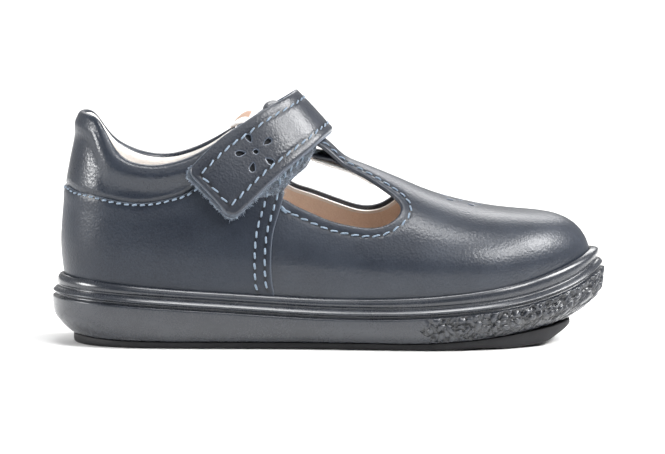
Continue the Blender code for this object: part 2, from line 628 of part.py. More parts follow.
def make_upper(group, tools):
    u = stations()
    levels = (lambda x: floor_z(x) + CLEAR, middle_z, lambda x: crest_z(x) + 1.0)
    rows = []
    for level in levels:
        row = []
        for s in (LAT, MED):
            x = along_u(WIDE, np.full(len(u), s), u)[:, 0]
            p = rise(s, u, level(x))
            row.append((np.full(len(u), s), u, p))
        rows.append(row)
    side, uu, pp, edges = [], [], [], []
    ids = []
    for row in rows:
        start = sum(len(a) for a in uu)
        (sl, ul, pl), (sm, um, pm) = row
        side += [sl, sm[1:-1][::-1]]
        uu += [ul, um[1:-1][::-1]]
        pp += [pl, pm[1:-1][::-1]]
        n = 2 * STATIONS - 2
        ids.append([start + i for i in range(n)])
        edges += [(start + i, start + (i + 1) % n) for i in range(n)]
    for a, b in zip(ids, ids[1:]):
        edges += list(zip(a, b))
    side, uu, pp = np.concatenate(side), np.concatenate(uu), np.concatenate(pp)
    flat = chart(side, uu, pp)
    top_row = flat[ids[2]]
    outer = flat[ids[0]]
    hole = opening(MESH_STEP * 0.8)
    n0 = len(flat)
    edges += [(n0 + i, n0 + (i + 1) % len(hole)) for i in range(len(hole))]
    gx, gy = np.meshgrid(np.arange(-110, 110, MESH_STEP), np.arange(-85, 85, MESH_STEP))
    gx = gx + (np.arange(gx.shape[0]) % 2)[:, None] * MESH_STEP * 0.5
    grid = np.column_stack([gx.ravel(), gy.ravel()])
    keep = inside(grid, top_row) & ~inside(grid, hole)
    grid = grid[keep]
    for loop, room in ((top_row, 0.6), (hole, 0.55)):
        d = np.min(np.linalg.norm(grid[:, None] - resample(np.vstack([loop, loop[:1]]), 1.0)[None],
                                  axis=2), axis=1)
        grid = grid[d > room * MESH_STEP]
    every = np.vstack([flat, hole, grid])
    res = geometry.delaunay_2d_cdt([Vector(p) for p in every], edges, [], 0, 1e-5)
    verts2, tris, orig = res[0], res[2], res[3]
    assert len(verts2) == len(every), "the layout's edges cross"
    back = [o[0] for o in orig]
    tri = np.array([[back[i] for i in t] for t in tris])
    mid = every[tri].mean(axis=1)
    ok = inside(mid, outer) & ~inside(mid, hole)
    tri = tri[ok]
    hs, hu, hp = unchart(every[n0:])
    side, uu, pp = np.concatenate([side, hs]), np.concatenate([uu, hu]), np.concatenate([pp, hp])
    pts, _ = skin(side, uu, pp)
    obj = new_object("upper", pts, [tuple(int(i) for i in t) for t in tri],
                     (0.062, 0.070, 0.088), 0.38, group)
    # the collar is padded: its wall swells towards the crest behind the tabs
    collar = np.vstack([collar_run(LAT), collar_run(MED)])
    tree3 = on_chart(collar)[0]
    d = np.min(np.linalg.norm(pts[:, None] - tree3[None], axis=2), axis=1)
    front = np.clip((-30.0 - pts[:, 0]) / 12.0, 0, 1)
    swell = np.clip(1 - d / 13.0, 0, 1) ** 0.7 * front
    thick = WALL + 1.8 * swell
    vg = obj.vertex_groups.new(name="thickness")
    for i, t in enumerate(thick):
        vg.add([i], float(t / 3.8), "REPLACE")
    mod = obj.modifiers.new("wall", "SOLIDIFY")
    mod.thickness, mod.offset = 0.0038, -1.0
    mod.vertex_group = "thickness"
    mod.thickness_vertex_group = 0.0
    mod.use_even_offset = False
    mod.use_quality_normals = True

    # folded loop at the end of the T-bar
    fold = np.array(LOOP_FOLD)
    ys = np.linspace(-LOOP_HALF, LOOP_HALF, 9)
    verts, faces = [], []
    for y in ys:
        xy = np.column_stack([fold[:, 0], np.full(len(fold), y - 0.5)])
        verts.extend(on_chart(xy, fold[:, 1])[0])
    k = len(fold)
    for r in range(len(ys) - 1):
        for i in range(k):
            j = (i + 1) % k
            faces.append((r * k + i, r * k + j, (r + 1) * k + j, (r + 1) * k + i))
    faces.append(tuple(range(k)))
    faces.append(tuple((len(ys) - 1) * k + i for i in range(k))[::-1])
    loop = new_object("t_bar_loop", verts, faces, (0.062, 0.070, 0.088), 0.4, tools)
    bm = bmesh.new()
    bm.from_mesh(loop.data)
    bmesh.ops.triangulate(bm, faces=[f for f in bm.faces if len(f.verts) > 4])
    bm.to_mesh(loop.data)
    bm.free()
    loop.hide_render = True
    loop.display_type = "WIRE"
    join = obj.modifiers.new("t_bar_loop", "BOOLEAN")
    join.operation, join.solver, join.object = "UNION", "EXACT", loop
    return obj


def strap_sheet(k_rows, columns, lift=0.0, grow=0.0, end_round=3.2):
    """Grid of points over the strap. Rows run from the outer end to the inner
    one, columns from the rear edge to the front edge."""
    t = np.arange(len(STRAP), dtype=float)
    f = [cubic([(a,) + row for a, row in zip(t, STRAP)], c + 1) for c in range(6)]
    lo, hi = k_rows[0], k_rows[-1]
    grid, offs = [], []
    for v in np.linspace(0, 1, columns):
        w = 18.0 * min(v, 1 - v)
        back = 0.0
        if w < end_round:
            back = (end_round - math.sqrt(end_round ** 2 - (end_round - w) ** 2)) / 8.0
        ks = lo + back + (hi - lo - back) * (np.asarray(k_rows) - lo) / (hi - lo)
        vv = -grow + (1 + 2 * grow) * v
        rear = np.column_stack([f[0](ks), f[1](ks)])
        fore = np.column_stack([f[2](ks), f[3](ks)])
        under = f[4](ks) * (1 - v) + f[5](ks) * v
        grid.append(rear * (1 - vv) + fore * vv)
        offs.append(under + lift)
    return np.stack(grid, 1), np.stack(offs, 1)


def sheet_object(name, grid, offs, thick, colour, rough, group):
    """Open sheet over the leather, thickened downwards."""
    rows, cols = grid.shape[:2]
    pts, _ = on_chart(grid.reshape(-1, 2), offs.ravel() + thick)
    faces = [(r * cols + c, r * cols + c + 1, (r + 1) * cols + c + 1, (r + 1) * cols + c)
             for r in range(rows - 1) for c in range(cols - 1)]
    obj = new_object(name, pts, faces, colour, rough, group)
    mid = np.array([v.co for v in obj.data.vertices]).mean(axis=0)
    f = obj.data.polygons[len(obj.data.polygons) // 2]
    if f.normal.dot(f.center - Vector((f.center.x, 0.0, 0.030))) < 0:
        obj.data.flip_normals()
    mod = obj.modifiers.new("wall", "SOLIDIFY")
    mod.thickness, mod.offset = thick * 0.001, -1.0
    mod.use_even_offset = False
    mod.use_quality_normals = True
    return obj


def make_strap(group):
    ks = np.linspace(0, len(STRAP) - 1, 34)
    grid, offs = strap_sheet(ks, 9)
    return sheet_object("strap", grid, offs, STRAP_THICK, (0.075, 0.08, 0.098), 0.36, group)


def make_hook_tape(group):
    ks = np.linspace(0, 3.1, 12)
    grid, offs = strap_sheet(ks, 9, lift=-1.0, grow=0.025, end_round=2.4)
    return sheet_object("hook_tape", grid, np.full(offs.shape, 1.3), TAPE_THICK,
                        (0.16, 0.19, 0.24), 0.9, group)


def make_loop_tape(group):
    rows = np.array(LOOP_TAPE)
    y = np.linspace(rows[0, 0], rows[-1, 0], 12)
    order = rows[::-1]
    rear = cubic([tuple(r) for r in order], 1)(y)
    fore = cubic([tuple(r) for r in order], 2)(y)
    v = np.linspace(0, 1, 6)
    grid = np.stack([np.stack([rear * (1 - a) + fore * a, y], 1) for a in v], 1)
    return sheet_object("loop_tape", grid, np.full(grid.shape[:2], 0.35), TAPE_THICK,
                        (0.16, 0.19, 0.24), 0.95, group)


def main():
    scene = bpy.context.scene
    shoe = bpy.data.collections.new("t_bar_shoe")
    tools = bpy.data.collections.new("t_bar_shoe_tools")
    scene.collection.children.link(shoe)
    scene.collection.children.link(tools)
    make_pad(shoe)
    make_cup(shoe)
    make_insole(shoe)
    make_upper(shoe, tools)
    make_loop_tape(shoe)
    make_hook_tape(shoe)
    make_strap(shoe)


main()
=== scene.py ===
"""T-bar shoe for a child's right foot: leather, lining, stitching, tapes, rubber
sole, and the light and camera that show it. Lengths are in millimetres until a
mesh is made; +X points to the toe, -Y is the outer side, +Z is up."""
import math
import bpy
import numpy as np
from mathutils import Matrix, Vector, geometry


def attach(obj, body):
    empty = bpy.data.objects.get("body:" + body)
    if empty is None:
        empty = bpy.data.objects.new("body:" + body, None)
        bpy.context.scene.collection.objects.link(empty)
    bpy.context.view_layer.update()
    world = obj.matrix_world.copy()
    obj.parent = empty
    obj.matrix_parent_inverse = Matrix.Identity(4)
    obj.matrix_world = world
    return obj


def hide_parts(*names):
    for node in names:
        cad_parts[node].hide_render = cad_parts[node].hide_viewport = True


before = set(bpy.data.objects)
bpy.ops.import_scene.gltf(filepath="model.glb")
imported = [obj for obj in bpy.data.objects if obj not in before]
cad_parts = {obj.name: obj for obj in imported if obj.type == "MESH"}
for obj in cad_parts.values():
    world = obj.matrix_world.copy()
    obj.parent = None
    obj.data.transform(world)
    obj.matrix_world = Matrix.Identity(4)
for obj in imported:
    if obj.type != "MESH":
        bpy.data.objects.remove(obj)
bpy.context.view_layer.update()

# ---------------------------------------------------------------------------
# Measured sizes, in millimetres. +X points to the toe, -Y is the outer side,
# +Z is up and the floor is z = 0. The shoe is a right one.
# ---------------------------------------------------------------------------

# moulded ridge of the cup sole seen from above: x, y, heel -> outer side ->
# toe tip -> inner side
RIDGE_OUTLINE = (
    (-78.0, 0.0), (-74.6, -11.6), (-65.2, -20.3), (-51.0, -24.2), (-34.0, -25.0),
    (-15.0, -25.3), (5.0, -27.4), (25.0, -30.2), (42.0, -29.7), (57.0, -24.6),
    (69.3, -15.0), (76.3, -5.0), (78.3, 3.6),
    (76.3, 12.4), (69.0, 21.2), (56.0, 27.9), (40.0, 30.5), (22.0, 28.9),
    (2.0, 24.9), (-18.0, 22.7), (-38.0, 22.9), (-53.0, 22.9), (-66.0, 19.5),
    (-74.7, 11.2))
HEEL_ROW, TOE_ROW = 0, 12

# along the shoe: x, ridge height, roll height above the ridge, height of the
# wall's lower edge, how far that edge lies inside the ridge
SOLE_LONG = (
    (-78.0, 15.4, 4.6, 3.1, 5.1), (-65.0, 14.7, 4.2, 2.4, 3.8),
    (-50.0, 13.8, 3.8, 2.2, 3.0), (-27.0, 12.4, 3.7, 2.2, 2.7),
    (-4.0, 11.1, 3.8, 2.2, 2.6), (10.0, 10.9, 3.9, 2.2, 2.6),
    (26.0, 11.3, 4.1, 2.2, 2.6), (38.0, 12.1, 4.3, 2.8, 2.9),
    (48.0, 13.1, 4.7, 3.7, 3.6), (57.0, 14.5, 5.2, 4.7, 4.7),
    (63.0, 15.9, 5.5, 5.4, 5.8), (69.2, 17.9, 5.8, 6.0, 7.2),
    (75.3, 20.9, 6.0, 6.6, 9.0), (78.3, 23.0, 6.0, 6.8, 9.8))

# side wall of the cup, share of its flare: outwards, upwards
FLARE = ((0.0, 0.0), (0.34, 0.16), (0.64, 0.35), (0.86, 0.53), (0.965, 0.72),
         (1.0, 1.0))

# along the shoe: x, floor of the cup, pad's lower face
FLOOR_LONG = (
    (-78.0, 9.2, 0.0), (-60.0, 8.6, 0.0), (-40.0, 8.0, 0.0), (-20.0, 7.3, 0.0),
    (0.0, 6.8, 0.0), (20.0, 6.6, 0.0), (30.0, 6.7, 0.0), (38.0, 7.2, 0.25),
    (47.5, 8.3, 0.8), (56.8, 9.7, 1.4), (62.0, 10.8, 1.9), (66.0, 11.7, 2.6),
    (70.0, 12.7, 4.0), (78.0, 14.8, 6.0))

# upper, by the x of its widest line: x, gap inside the ridge, widest height,
# tuck at the floor, exponent of height, exponent of width
UPPER_LONG = (
    (-76.0, 2.0, 30.0, 4.0, 1.50, 2.00), (-60.0, 2.1, 28.5, 2.7, 1.50, 2.00),
    (-40.0, 2.2, 26.3, 2.0, 1.50, 2.00), (-15.0, 2.3, 24.2, 1.7, 1.42, 2.00),
    (10.0, 2.4, 22.8, 1.6, 1.45, 2.00), (25.0, 2.3, 22.0, 1.5, 1.65, 2.15),
    (40.0, 2.2, 21.7, 1.3, 1.90, 2.40), (55.0, 2.5, 21.8, 1.1, 1.98, 2.90),
    (65.0, 2.7, 22.3, 0.9, 2.00, 3.20), (75.5, 3.1, 23.0, 0.8, 2.00, 3.50))

# height of the crown line of the last: x, z
CROWN = (
    (-62.0, 88.0), (-55.0, 87.0), (-45.0, 83.5), (-30.0, 75.8), (-23.0, 71.4),
    (-16.0, 66.7), (-10.0, 62.2), (-5.0, 58.5), (0.0, 55.5), (6.4, 52.6),
    (10.3, 51.0), (16.0, 48.6), (21.7, 46.2), (26.4, 44.2), (35.2, 41.2),
    (41.8, 39.5), (50.0, 38.1), (57.0, 37.5), (65.0, 37.25), (72.0, 37.15),
    (80.0, 37.1))

# height of the collar's crest by the x of the widest line: x, z
COLLAR_OUTER = (
    (-76.2, 66.2), (-74.0, 66.0), (-71.6, 65.6), (-69.0, 64.4), (-66.5, 62.0),
    (-63.5, 58.2), (-59.5, 54.7), (-54.0, 52.9), (-49.0, 52.6), (-44.0, 53.4),
    (-38.3, 55.3), (-33.0, 58.0), (-30.0, 59.8), (-27.4, 61.9), (-22.5, 65.4))
COLLAR_INNER = (
    (-76.2, 66.2), (-74.0, 65.9), (-71.8, 65.1), (-69.6, 63.6), (-66.8, 60.9),
    (-63.4, 57.8), (-59.0, 55.2), (-54.3, 53.4), (-49.2, 52.4), (-44.2, 52.6),
    (-39.2, 54.0), (-33.0, 56.9), (-30.0, 58.7), (-27.1, 60.6), (-22.5, 64.0))

SPINE_HEEL, SPINE_TOE, SPINE_SOFT = -55.0, 52.0, 5.5
WALL = 2.0            # leather and lining together
CLEAR = 0.35          # between pieces that lie against each other
CENTRE = (-0.15, -0.02, 0.0)   # puts the sole's middle over the origin
LAT, MED = 0, 1
NU, NP = 361, 161


def cubic(rows, column):
    """Natural cubic through one column of a table, held level past its ends."""
    xs = np.array([r[0] for r in rows], float)
    ys = np.array([r[column] for r in rows], float)
    n, h = len(xs), np.diff(xs)
    a, r = np.eye(n), np.zeros(n)
    for i in range(1, n - 1):
        a[i, i - 1:i + 2] = h[i - 1], 2 * (h[i - 1] + h[i]), h[i]
        r[i] = 6 * ((ys[i + 1] - ys[i]) / h[i] - (ys[i] - ys[i - 1]) / h[i - 1])
    m = np.linalg.solve(a, r)

    def f(x):
        x = np.clip(x, xs[0], xs[-1])
        i = np.clip(np.searchsorted(xs, x) - 1, 0, n - 2)
        p, q = (xs[i + 1] - x) / h[i], (x - xs[i]) / h[i]
        return (p * ys[i] + q * ys[i + 1]
                + ((p ** 3 - p) * m[i] + (q ** 3 - q) * m[i + 1]) * h[i] ** 2 / 6)
    return f


def smooth_curve(points, step, closed=False):
    """Points about `step` apart on a cubic curve through 2-D or 3-D points."""
    pts = np.array(points, float)
    if closed:
        k = 4
        pts = np.vstack([pts[-k:], pts, pts[:k + 1]])
    t = np.concatenate([[0], np.cumsum(np.linalg.norm(np.diff(pts, axis=0), axis=1) ** 0.75)])
    fs = [cubic(list(zip(t, pts[:, c])), 1) for c in range(pts.shape[1])]
    lo, hi = (t[4], t[-5]) if closed else (t[0], t[-1])
    fine = np.linspace(lo, hi, 60 * len(points) + 1)
    dense = np.stack([f(fine) for f in fs], 1)
    s = np.concatenate([[0], np.cumsum(np.linalg.norm(np.diff(dense, axis=0), axis=1))])
    n = max(2, int(round(s[-1] / step)) + 1)
    want = np.linspace(0, s[-1], n)
    out = np.stack([np.interp(want, s, dense[:, c]) for c in range(dense.shape[1])], 1)
    return out[:-1] if closed else out


ridge_z, roll_h = cubic(SOLE_LONG, 1), cubic(SOLE_LONG, 2)
edge_z, edge_in = cubic(SOLE_LONG, 3), cubic(SOLE_LONG, 4)
floor_z, pad_z = cubic(FLOOR_LONG, 1), cubic(FLOOR_LONG, 2)
up_gap, up_wide = cubic(UPPER_LONG, 1), cubic(UPPER_LONG, 2)
up_tuck, up_a, up_b = (cubic(UPPER_LONG, k) for k in (3, 4, 5))
crown_z = cubic(CROWN, 1)
collar_z = (cubic(COLLAR_OUTER, 1), cubic(COLLAR_INNER, 1))
flare_out = np.array([r[0] for r in FLARE])
flare_up = np.array([r[1] for r in FLARE])


def ridge_sides():
    """The ridge outline as two sides, NU points each from heel to toe, with
    the directions that point straight out of it."""
    pts = np.array(RIDGE_OUTLINE, float)
    n = len(pts)
    ext = np.vstack([pts, pts, pts])
    t = np.concatenate([[0], np.cumsum(np.linalg.norm(np.diff(ext, axis=0), axis=1))])
    fx, fy = (cubic(list(zip(t, ext[:, c])), 1) for c in (0, 1))
    heel, toe, back = t[n + HEEL_ROW], t[n + TOE_ROW], t[2 * n + HEEL_ROW]
    sides = []
    for a, b in ((heel, toe), (back, toe)):
        q = np.linspace(a, b, 4001)
        p = np.stack([fx(q), fy(q)], 1)
        s = np.concatenate([[0], np.cumsum(np.linalg.norm(np.diff(p, axis=0), axis=1))])
        want = np.linspace(0, s[-1], NU)
        qq = np.interp(want, s, q)
        p = np.stack([fx(qq), fy(qq)], 1)
        e = 0.02
        d = np.stack([fx(qq + e) - fx(qq - e), fy(qq + e) - fy(qq - e)], 1)
        d /= np.linalg.norm(d, axis=1)[:, None]
        sides.append((p, np.stack([d[:, 1], -d[:, 0]], 1)))
    return (np.stack([sides[0][0], sides[1][0]]), np.stack([sides[0][1], sides[1][1]]))


RIDGE, OUT = ridge_sides()
SIDE_LEN = [float(np.linalg.norm(np.diff(RIDGE[s], axis=0), axis=1).sum()) for s in (LAT, MED)]
U = np.linspace(0.0, 1.0, NU)
WIDE = RIDGE - OUT * up_gap(RIDGE[..., 0])[..., None]


def soft_clamp(x):
    k = SPINE_SOFT
    x = SPINE_TOE - k * np.log1p(np.exp((SPINE_TOE - x) / k))
    x = SPINE_HEEL + k * np.log1p(np.exp((x - SPINE_HEEL) / k))
    return x


def soft_min(x, top, k):
    return top - k * np.log1p(np.exp((top - x) / k))


def spine():
    mid = 0.5 * (WIDE[LAT] + WIDE[MED])
    x = mid[:, 0]
    k = SPINE_SOFT
    x = -(k * np.logaddexp(-x / k, -SPINE_TOE / k))
    x = k * np.logaddexp(x / k, SPINE_HEEL / k)
    return np.stack([x, 0.6 * mid[:, 1]], 1)


SPINE = spine()


def upper_grid():
    """The outer face of the upper on both sides: for each of NU sections, NP
    points evenly spaced from the lower edge to the crown."""
    pos = np.zeros((2, NU, NP, 3))
    length = np.zeros((2, NU))
    t = np.linspace(0, 1, 260)
    phi = 0.5 * math.pi * (1 - (1 - t) ** 2)
    low = np.linspace(0, 1, 60)[:-1]
    for s in (LAT, MED):
        for j in range(NU):
            q, c, n = WIDE[s, j], SPINE[j], OUT[s, j]
            x = q[0]
            zw, a, b, tuck = up_wide(x), up_a(x), up_b(x), up_tuck(x)
            z0 = floor_z(x) + CLEAR
            rho, v = np.cos(phi) ** (2 / b), np.sin(phi) ** (2 / a)
            rho[-1], v[-1] = 0.0, 1.0
            plan = c + rho[:, None] * (q - c)
            top = np.column_stack([plan, zw + (crown_z(plan[:, 0]) - zw) * v])
            k = (1 - low) ** 2
            bot = np.column_stack([q - n * (tuck * k)[:, None], z0 + (zw - z0) * low])
            p = np.vstack([bot, top])
            d = np.concatenate([[0], np.cumsum(np.linalg.norm(np.diff(p, axis=0), axis=1))])
            want = np.linspace(0, d[-1], NP)
            for k3 in range(3):
                pos[s, j, :, k3] = np.interp(want, d, p[:, k3])
            length[s, j] = d[-1]
    return pos, length


POS, LEN = upper_grid()


def grid_normals(pos):
    du, dp = np.gradient(pos, axis=1), np.gradient(pos, axis=2)
    nrm = np.cross(du, dp)
    nrm[MED] *= -1
    nrm /= np.linalg.norm(nrm, axis=-1)[..., None] + 1e-12
    crown = nrm[LAT, :, -3] + nrm[MED, :, -3]
    crown /= np.linalg.norm(crown, axis=-1)[:, None]
    for k, w in ((-1, 1.0), (-2, 0.6)):
        for s in (LAT, MED):
            m = nrm[s, :, -3] * (1 - w) + crown * w
            nrm[s, :, k] = m / np.linalg.norm(m, axis=-1)[:, None]
    for j in (0, -1):
        m = nrm[LAT, j] + nrm[MED, j]
        nrm[:, j] = m / np.linalg.norm(m, axis=-1)[:, None]
    return nrm


NRM = grid_normals(POS)
DIR = WIDE - SPINE[None]
DIR /= np.linalg.norm(DIR, axis=-1)[..., None]


def blend2(table, side, u, p):
    """Table values between grid points."""
    a = np.clip(np.asarray(u, float), 0, 1) * (NU - 1)
    b = np.clip(np.asarray(p, float), 0, 1) * (NP - 1)
    i, j = np.minimum(a.astype(int), NU - 2), np.minimum(b.astype(int), NP - 2)
    fa, fb = (a - i)[..., None], (b - j)[..., None]
    return ((table[side, i, j] * (1 - fa) + table[side, i + 1, j] * fa) * (1 - fb)
            + (table[side, i, j + 1] * (1 - fa) + table[side, i + 1, j + 1] * fa) * fb)


def skin(side, u, p, off=0.0):
    """Point on the upper's outer face, moved `off` out along the normal."""
    n = blend2(NRM, side, u, p)
    n /= np.linalg.norm(n, axis=-1)[..., None]
    return blend2(POS, side, u, p) + n * np.asarray(off)[..., None], n


def along_u(table, side, u):
    a = np.clip(np.asarray(u, float), 0, 1) * (NU - 1)
    i = np.minimum(a.astype(int), NU - 2)
    f = a - i
    if table.ndim > 2:
        f = f[..., None]
    return table[side, i] * (1 - f) + table[side, i + 1] * f


SPINE2 = np.stack([SPINE, SPINE])


def chart(side, u, p):
    """The upper laid flat: the crown line from above, with each section
    rolled out from it."""
    side = np.asarray(side)
    d = along_u(DIR, side, u)
    d /= np.linalg.norm(d, axis=-1)[..., None]
    return (along_u(SPINE2, side, u)
            + d * ((1 - np.asarray(p)) * along_u(LEN, side, u))[..., None])


def unchart(xy):
    """Side, section and place on it of points of the flat layout."""
    xy = np.asarray(xy, float).reshape(-1, 2)
    n = len(xy)
    best = np.full(n, 1e9)
    side, uu, pp = np.zeros(n, int), np.zeros(n), np.zeros(n)
    for a in range(0, n, 4000):
        part = xy[a:a + 4000]
        for s in (LAT, MED):
            rel = part[:, None, :] - SPINE[None]
            d = DIR[s][None]
            f = d[..., 0] * rel[..., 1] - d[..., 1] * rel[..., 0]
            al = (d * rel).sum(-1)
            change = (f[:, :-1] * f[:, 1:] <= 0) & (al[:, :-1] > -0.6)
            cost = np.where(change, np.abs(al[:, :-1]), 1e9)
            j = cost.argmin(1)
            r = np.arange(len(part))
            found = cost[r, j] < 1e8
            g = np.where(found, f[r, j] / (f[r, j] - f[r, np.minimum(j + 1, NU - 1)] + 1e-15), 0.0)
            miss = np.where(al > -0.6, np.abs(f), 1e9).argmin(1)
            j2 = np.where(found, j, miss)
            g = np.clip(np.where(found, g, 0.0), 0, 1)
            u = (j2 + g) / (NU - 1)
            al2 = al[r, j2] * (1 - g) + al[r, np.minimum(j2 + 1, NU - 1)] * g
            c = np.where(found, np.abs(al2), 1e5 + np.abs(f[r, j2]))
            better = c < best[a:a + 4000]
            idx = a + np.where(better)[0]
            best[idx] = c[better]
            side[idx], uu[idx] = s, u[better]
            pp[idx] = 1 - al2[better] / along_u(LEN, np.full(better.sum(), s), u[better])
    return side, uu, pp


def on_chart(xy, off=0.0):
    """3-D points and normals over points of the flat layout."""
    s, u, p = unchart(xy)
    return skin(s, u, p, off)


def find_side(side, x, z, off=0.0):
    """Flat-layout points whose 3-D place, `off` above the leather, has the
    given x and z as seen from the side."""
    x, z = np.atleast_1d(x).astype(float), np.atleast_1d(z).astype(float)
    off = np.broadcast_to(np.asarray(off, float), x.shape)
    us, ps = np.linspace(0, 1, 121), np.linspace(0, 1, 81)
    gu, gp = np.meshgrid(us, ps, indexing="ij")
    base, nor = skin(np.full(gu.shape, side), gu, gp)
    out = []
    for xi, zi, oi in zip(x, z, off):
        q = base + nor * oi
        k = ((q[..., 0] - xi) ** 2 + (q[..., 2] - zi) ** 2).argmin()
        u, p = gu.flat[k], gp.flat[k]
        for _ in range(12):
            f = skin(side, u, p, oi)[0][[0, 2]] - (xi, zi)
            e = 1e-3
            a = (skin(side, u + e, p, oi)[0] - skin(side, u - e, p, oi)[0])[[0, 2]] / (2 * e)
            b = (skin(side, u, p + e, oi)[0] - skin(side, u, p - e, oi)[0])[[0, 2]] / (2 * e)
            m = np.column_stack([a, b])
            step = np.linalg.lstsq(m, f, rcond=1e-3)[0]
            step = np.clip(step, -0.03, 0.03)
            u, p = float(np.clip(u - step[0], 0, 1)), float(np.clip(p - step[1], 0, 1))
        out.append(chart(side, u, p))
    return np.array(out)


def rise(side, u, z):
    """Place on a section at which the leather's outer face has height z."""
    prof = along_u(POS, np.full(np.shape(u), side), u) if np.ndim(u) == 0 else None
    if prof is not None:
        return float(np.interp(z, prof[:, 2], np.linspace(0, 1, NP)))
    return np.array([rise(side, float(a), float(b)) for a, b in zip(u, z)])


# ---------------------------------------------------------------------------
# Runs of the upper's edge in the flat layout, and the strap
# ---------------------------------------------------------------------------
OUTER_TAB = (
    (-25.2, -16.2), (-20.2, -11.4), (-15.8, -6.4), (-13.0, -1.6), (-12.2, 1.8),
    (-11.6, 4.0), (-10.2, 5.0), (-7.4, 5.2), (-4.9, 4.3), (-3.6, 2.3),
    (-2.9, -0.8), (-3.1, -5.0), (-3.8, -9.0), (-4.7, -12.3), (-5.6, -15.2),
    (-7.2, -18.2), (-9.3, -21.8), (-10.8, -24.8), (-12.2, -27.8))
OUTER_CUT = (
    (-12.0, -30.1), (-9.6, -30.1), (-4.7, -29.4), (0.7, -29.2), (7.0, -28.9),
    (12.6, -28.2), (15.9, -26.8), (18.9, -24.2), (20.6, -21.3), (20.9, -18.2),
    (19.4, -15.6), (16.4, -13.2), (11.8, -10.4), (6.4, -8.5), (3.4, -8.0))
INNER_CUT = (
    (3.4, 7.0), (6.4, 7.4), (11.8, 9.3), (15.8, 11.8), (18.2, 14.2),
    (18.9, 16.8), (17.4, 19.8), (14.9, 22.3), (12.1, 23.7), (8.6, 24.1),
    (5.0, 23.6), (0.0, 23.0), (-5.7, 23.5), (-9.6, 24.6), (-12.2, 24.6))
INNER_TAB = (
    (-12.6, 22.6), (-10.8, 18.8), (-8.2, 14.2), (-6.9, 11.6), (-7.4, 9.8),
    (-9.4, 9.0), (-13.6, 9.0), (-16.2, 9.4), (-18.8, 10.6), (-22.0, 12.9),
    (-25.2, 16.0))
STRAP = (
    (-40.4, -38.8, -27.2, -46.0, 2.30, 2.30),
    (-36.9, -33.9, -23.4, -40.6, 2.35, 2.30),
    (-31.2, -25.6, -17.7, -31.4, 2.60, 2.35),
    (-26.0, -19.0, -13.1, -24.0, 3.30, 2.50),
    (-20.6, -12.2, -8.2, -16.2, 4.90, 2.95),
    (-16.0, -6.2, -3.7, -8.0, 6.50, 3.65),
    (-14.2, 0.0, -1.2, 0.0, 7.00, 4.00),
    (-16.0, 6.2, -3.9, 8.0, 6.20, 3.50),
    (-20.3, 12.0, -8.0, 15.6, 3.80, 2.40),
    (-25.2, 18.6, -12.8, 22.6, 1.20, 1.00),
    (-29.6, 24.6, -17.2, 29.4, 0.50, 0.50),
    (-33.2, 30.0, -20.8, 35.6, 0.50, 0.50))
# top of the T-bar where it leaves the leather: x, height
BAR_TOP = ((-16.0, 2.3), (-12.0, 2.3), (-4.0, 2.3), (-1.0, 2.15), (1.8, 1.35),
           (4.6, 0.35), (7.6, 0.0), (11.0, 0.0))
BAR_UNDER = ((-16.0, -3.5), (-4.0, -3.35), (0.6, -2.5), (4.2, -1.75), (7.6, -1.3),
             (12.0, -1.1), (16.0, -1.05))
# the bar's end folds back under itself: x, height of the closed section
BAR_FOLD = (
    (-9.0, 2.3), (-12.0, 2.7), (-14.8, 3.1), (-17.0, 2.0), (-17.9, -0.4),
    (-17.2, -2.2), (-15.4, -3.2), (-12.0, -3.4), (-4.0, -3.3), (-1.0, -2.4),
    (1.6, -1.3), (4.6, -1.45), (7.0, -1.45), (5.6, -0.95), (3.4, -0.75), (1.4, -0.35),
    (-1.0, -1.25), (-4.0, -2.2), (-12.0, -2.3), (-14.8, -2.4), (-16.2, -1.8), (-16.7, -0.9), (-16.2, 0.0),
    (-14.8, 0.7), (-12.0, 1.1), (-9.0, 1.15))

# seen from the outer side, 6 degrees above level: x, height
LAP_SEEN = ((-13.0, 41.1), (-13.5, 37.6), (-14.6, 33.9), (-15.3, 31.3), (-15.8, 27.9),
            (-16.0, 24.5), (-16.0, 20.2), (-15.7, 16.5), (-15.3, 14.0))
SEAM_SEEN = ((-73.9, 44.0), (-72.2, 43.0), (-67.7, 41.8), (-62.0, 40.3), (-56.3, 39.4),
             (-50.6, 39.4), (-44.9, 40.5), (-40.3, 42.0), (-35.0, 46.0), (-30.5, 52.2))
FLOWER_SEEN = ((-20.3, 53.9), ((-22.3, 57.7), (-17.2, 56.8), (-24.7, 53.4),
                               (-21.2, 49.4), (-16.4, 51.3)))
C6, S6 = math.cos(math.radians(6.0)), math.sin(math.radians(6.0))
WIDTH = 18.0           # strap


def crest_z(x):
    return ridge_z(x) + roll_h(x)


def middle_z(x):
    return 0.5 * (floor_z(x) + crest_z(x))


def smooth01(x):
    x = np.clip(x, 0, 1)
    return x * x * (3 - 2 * x)


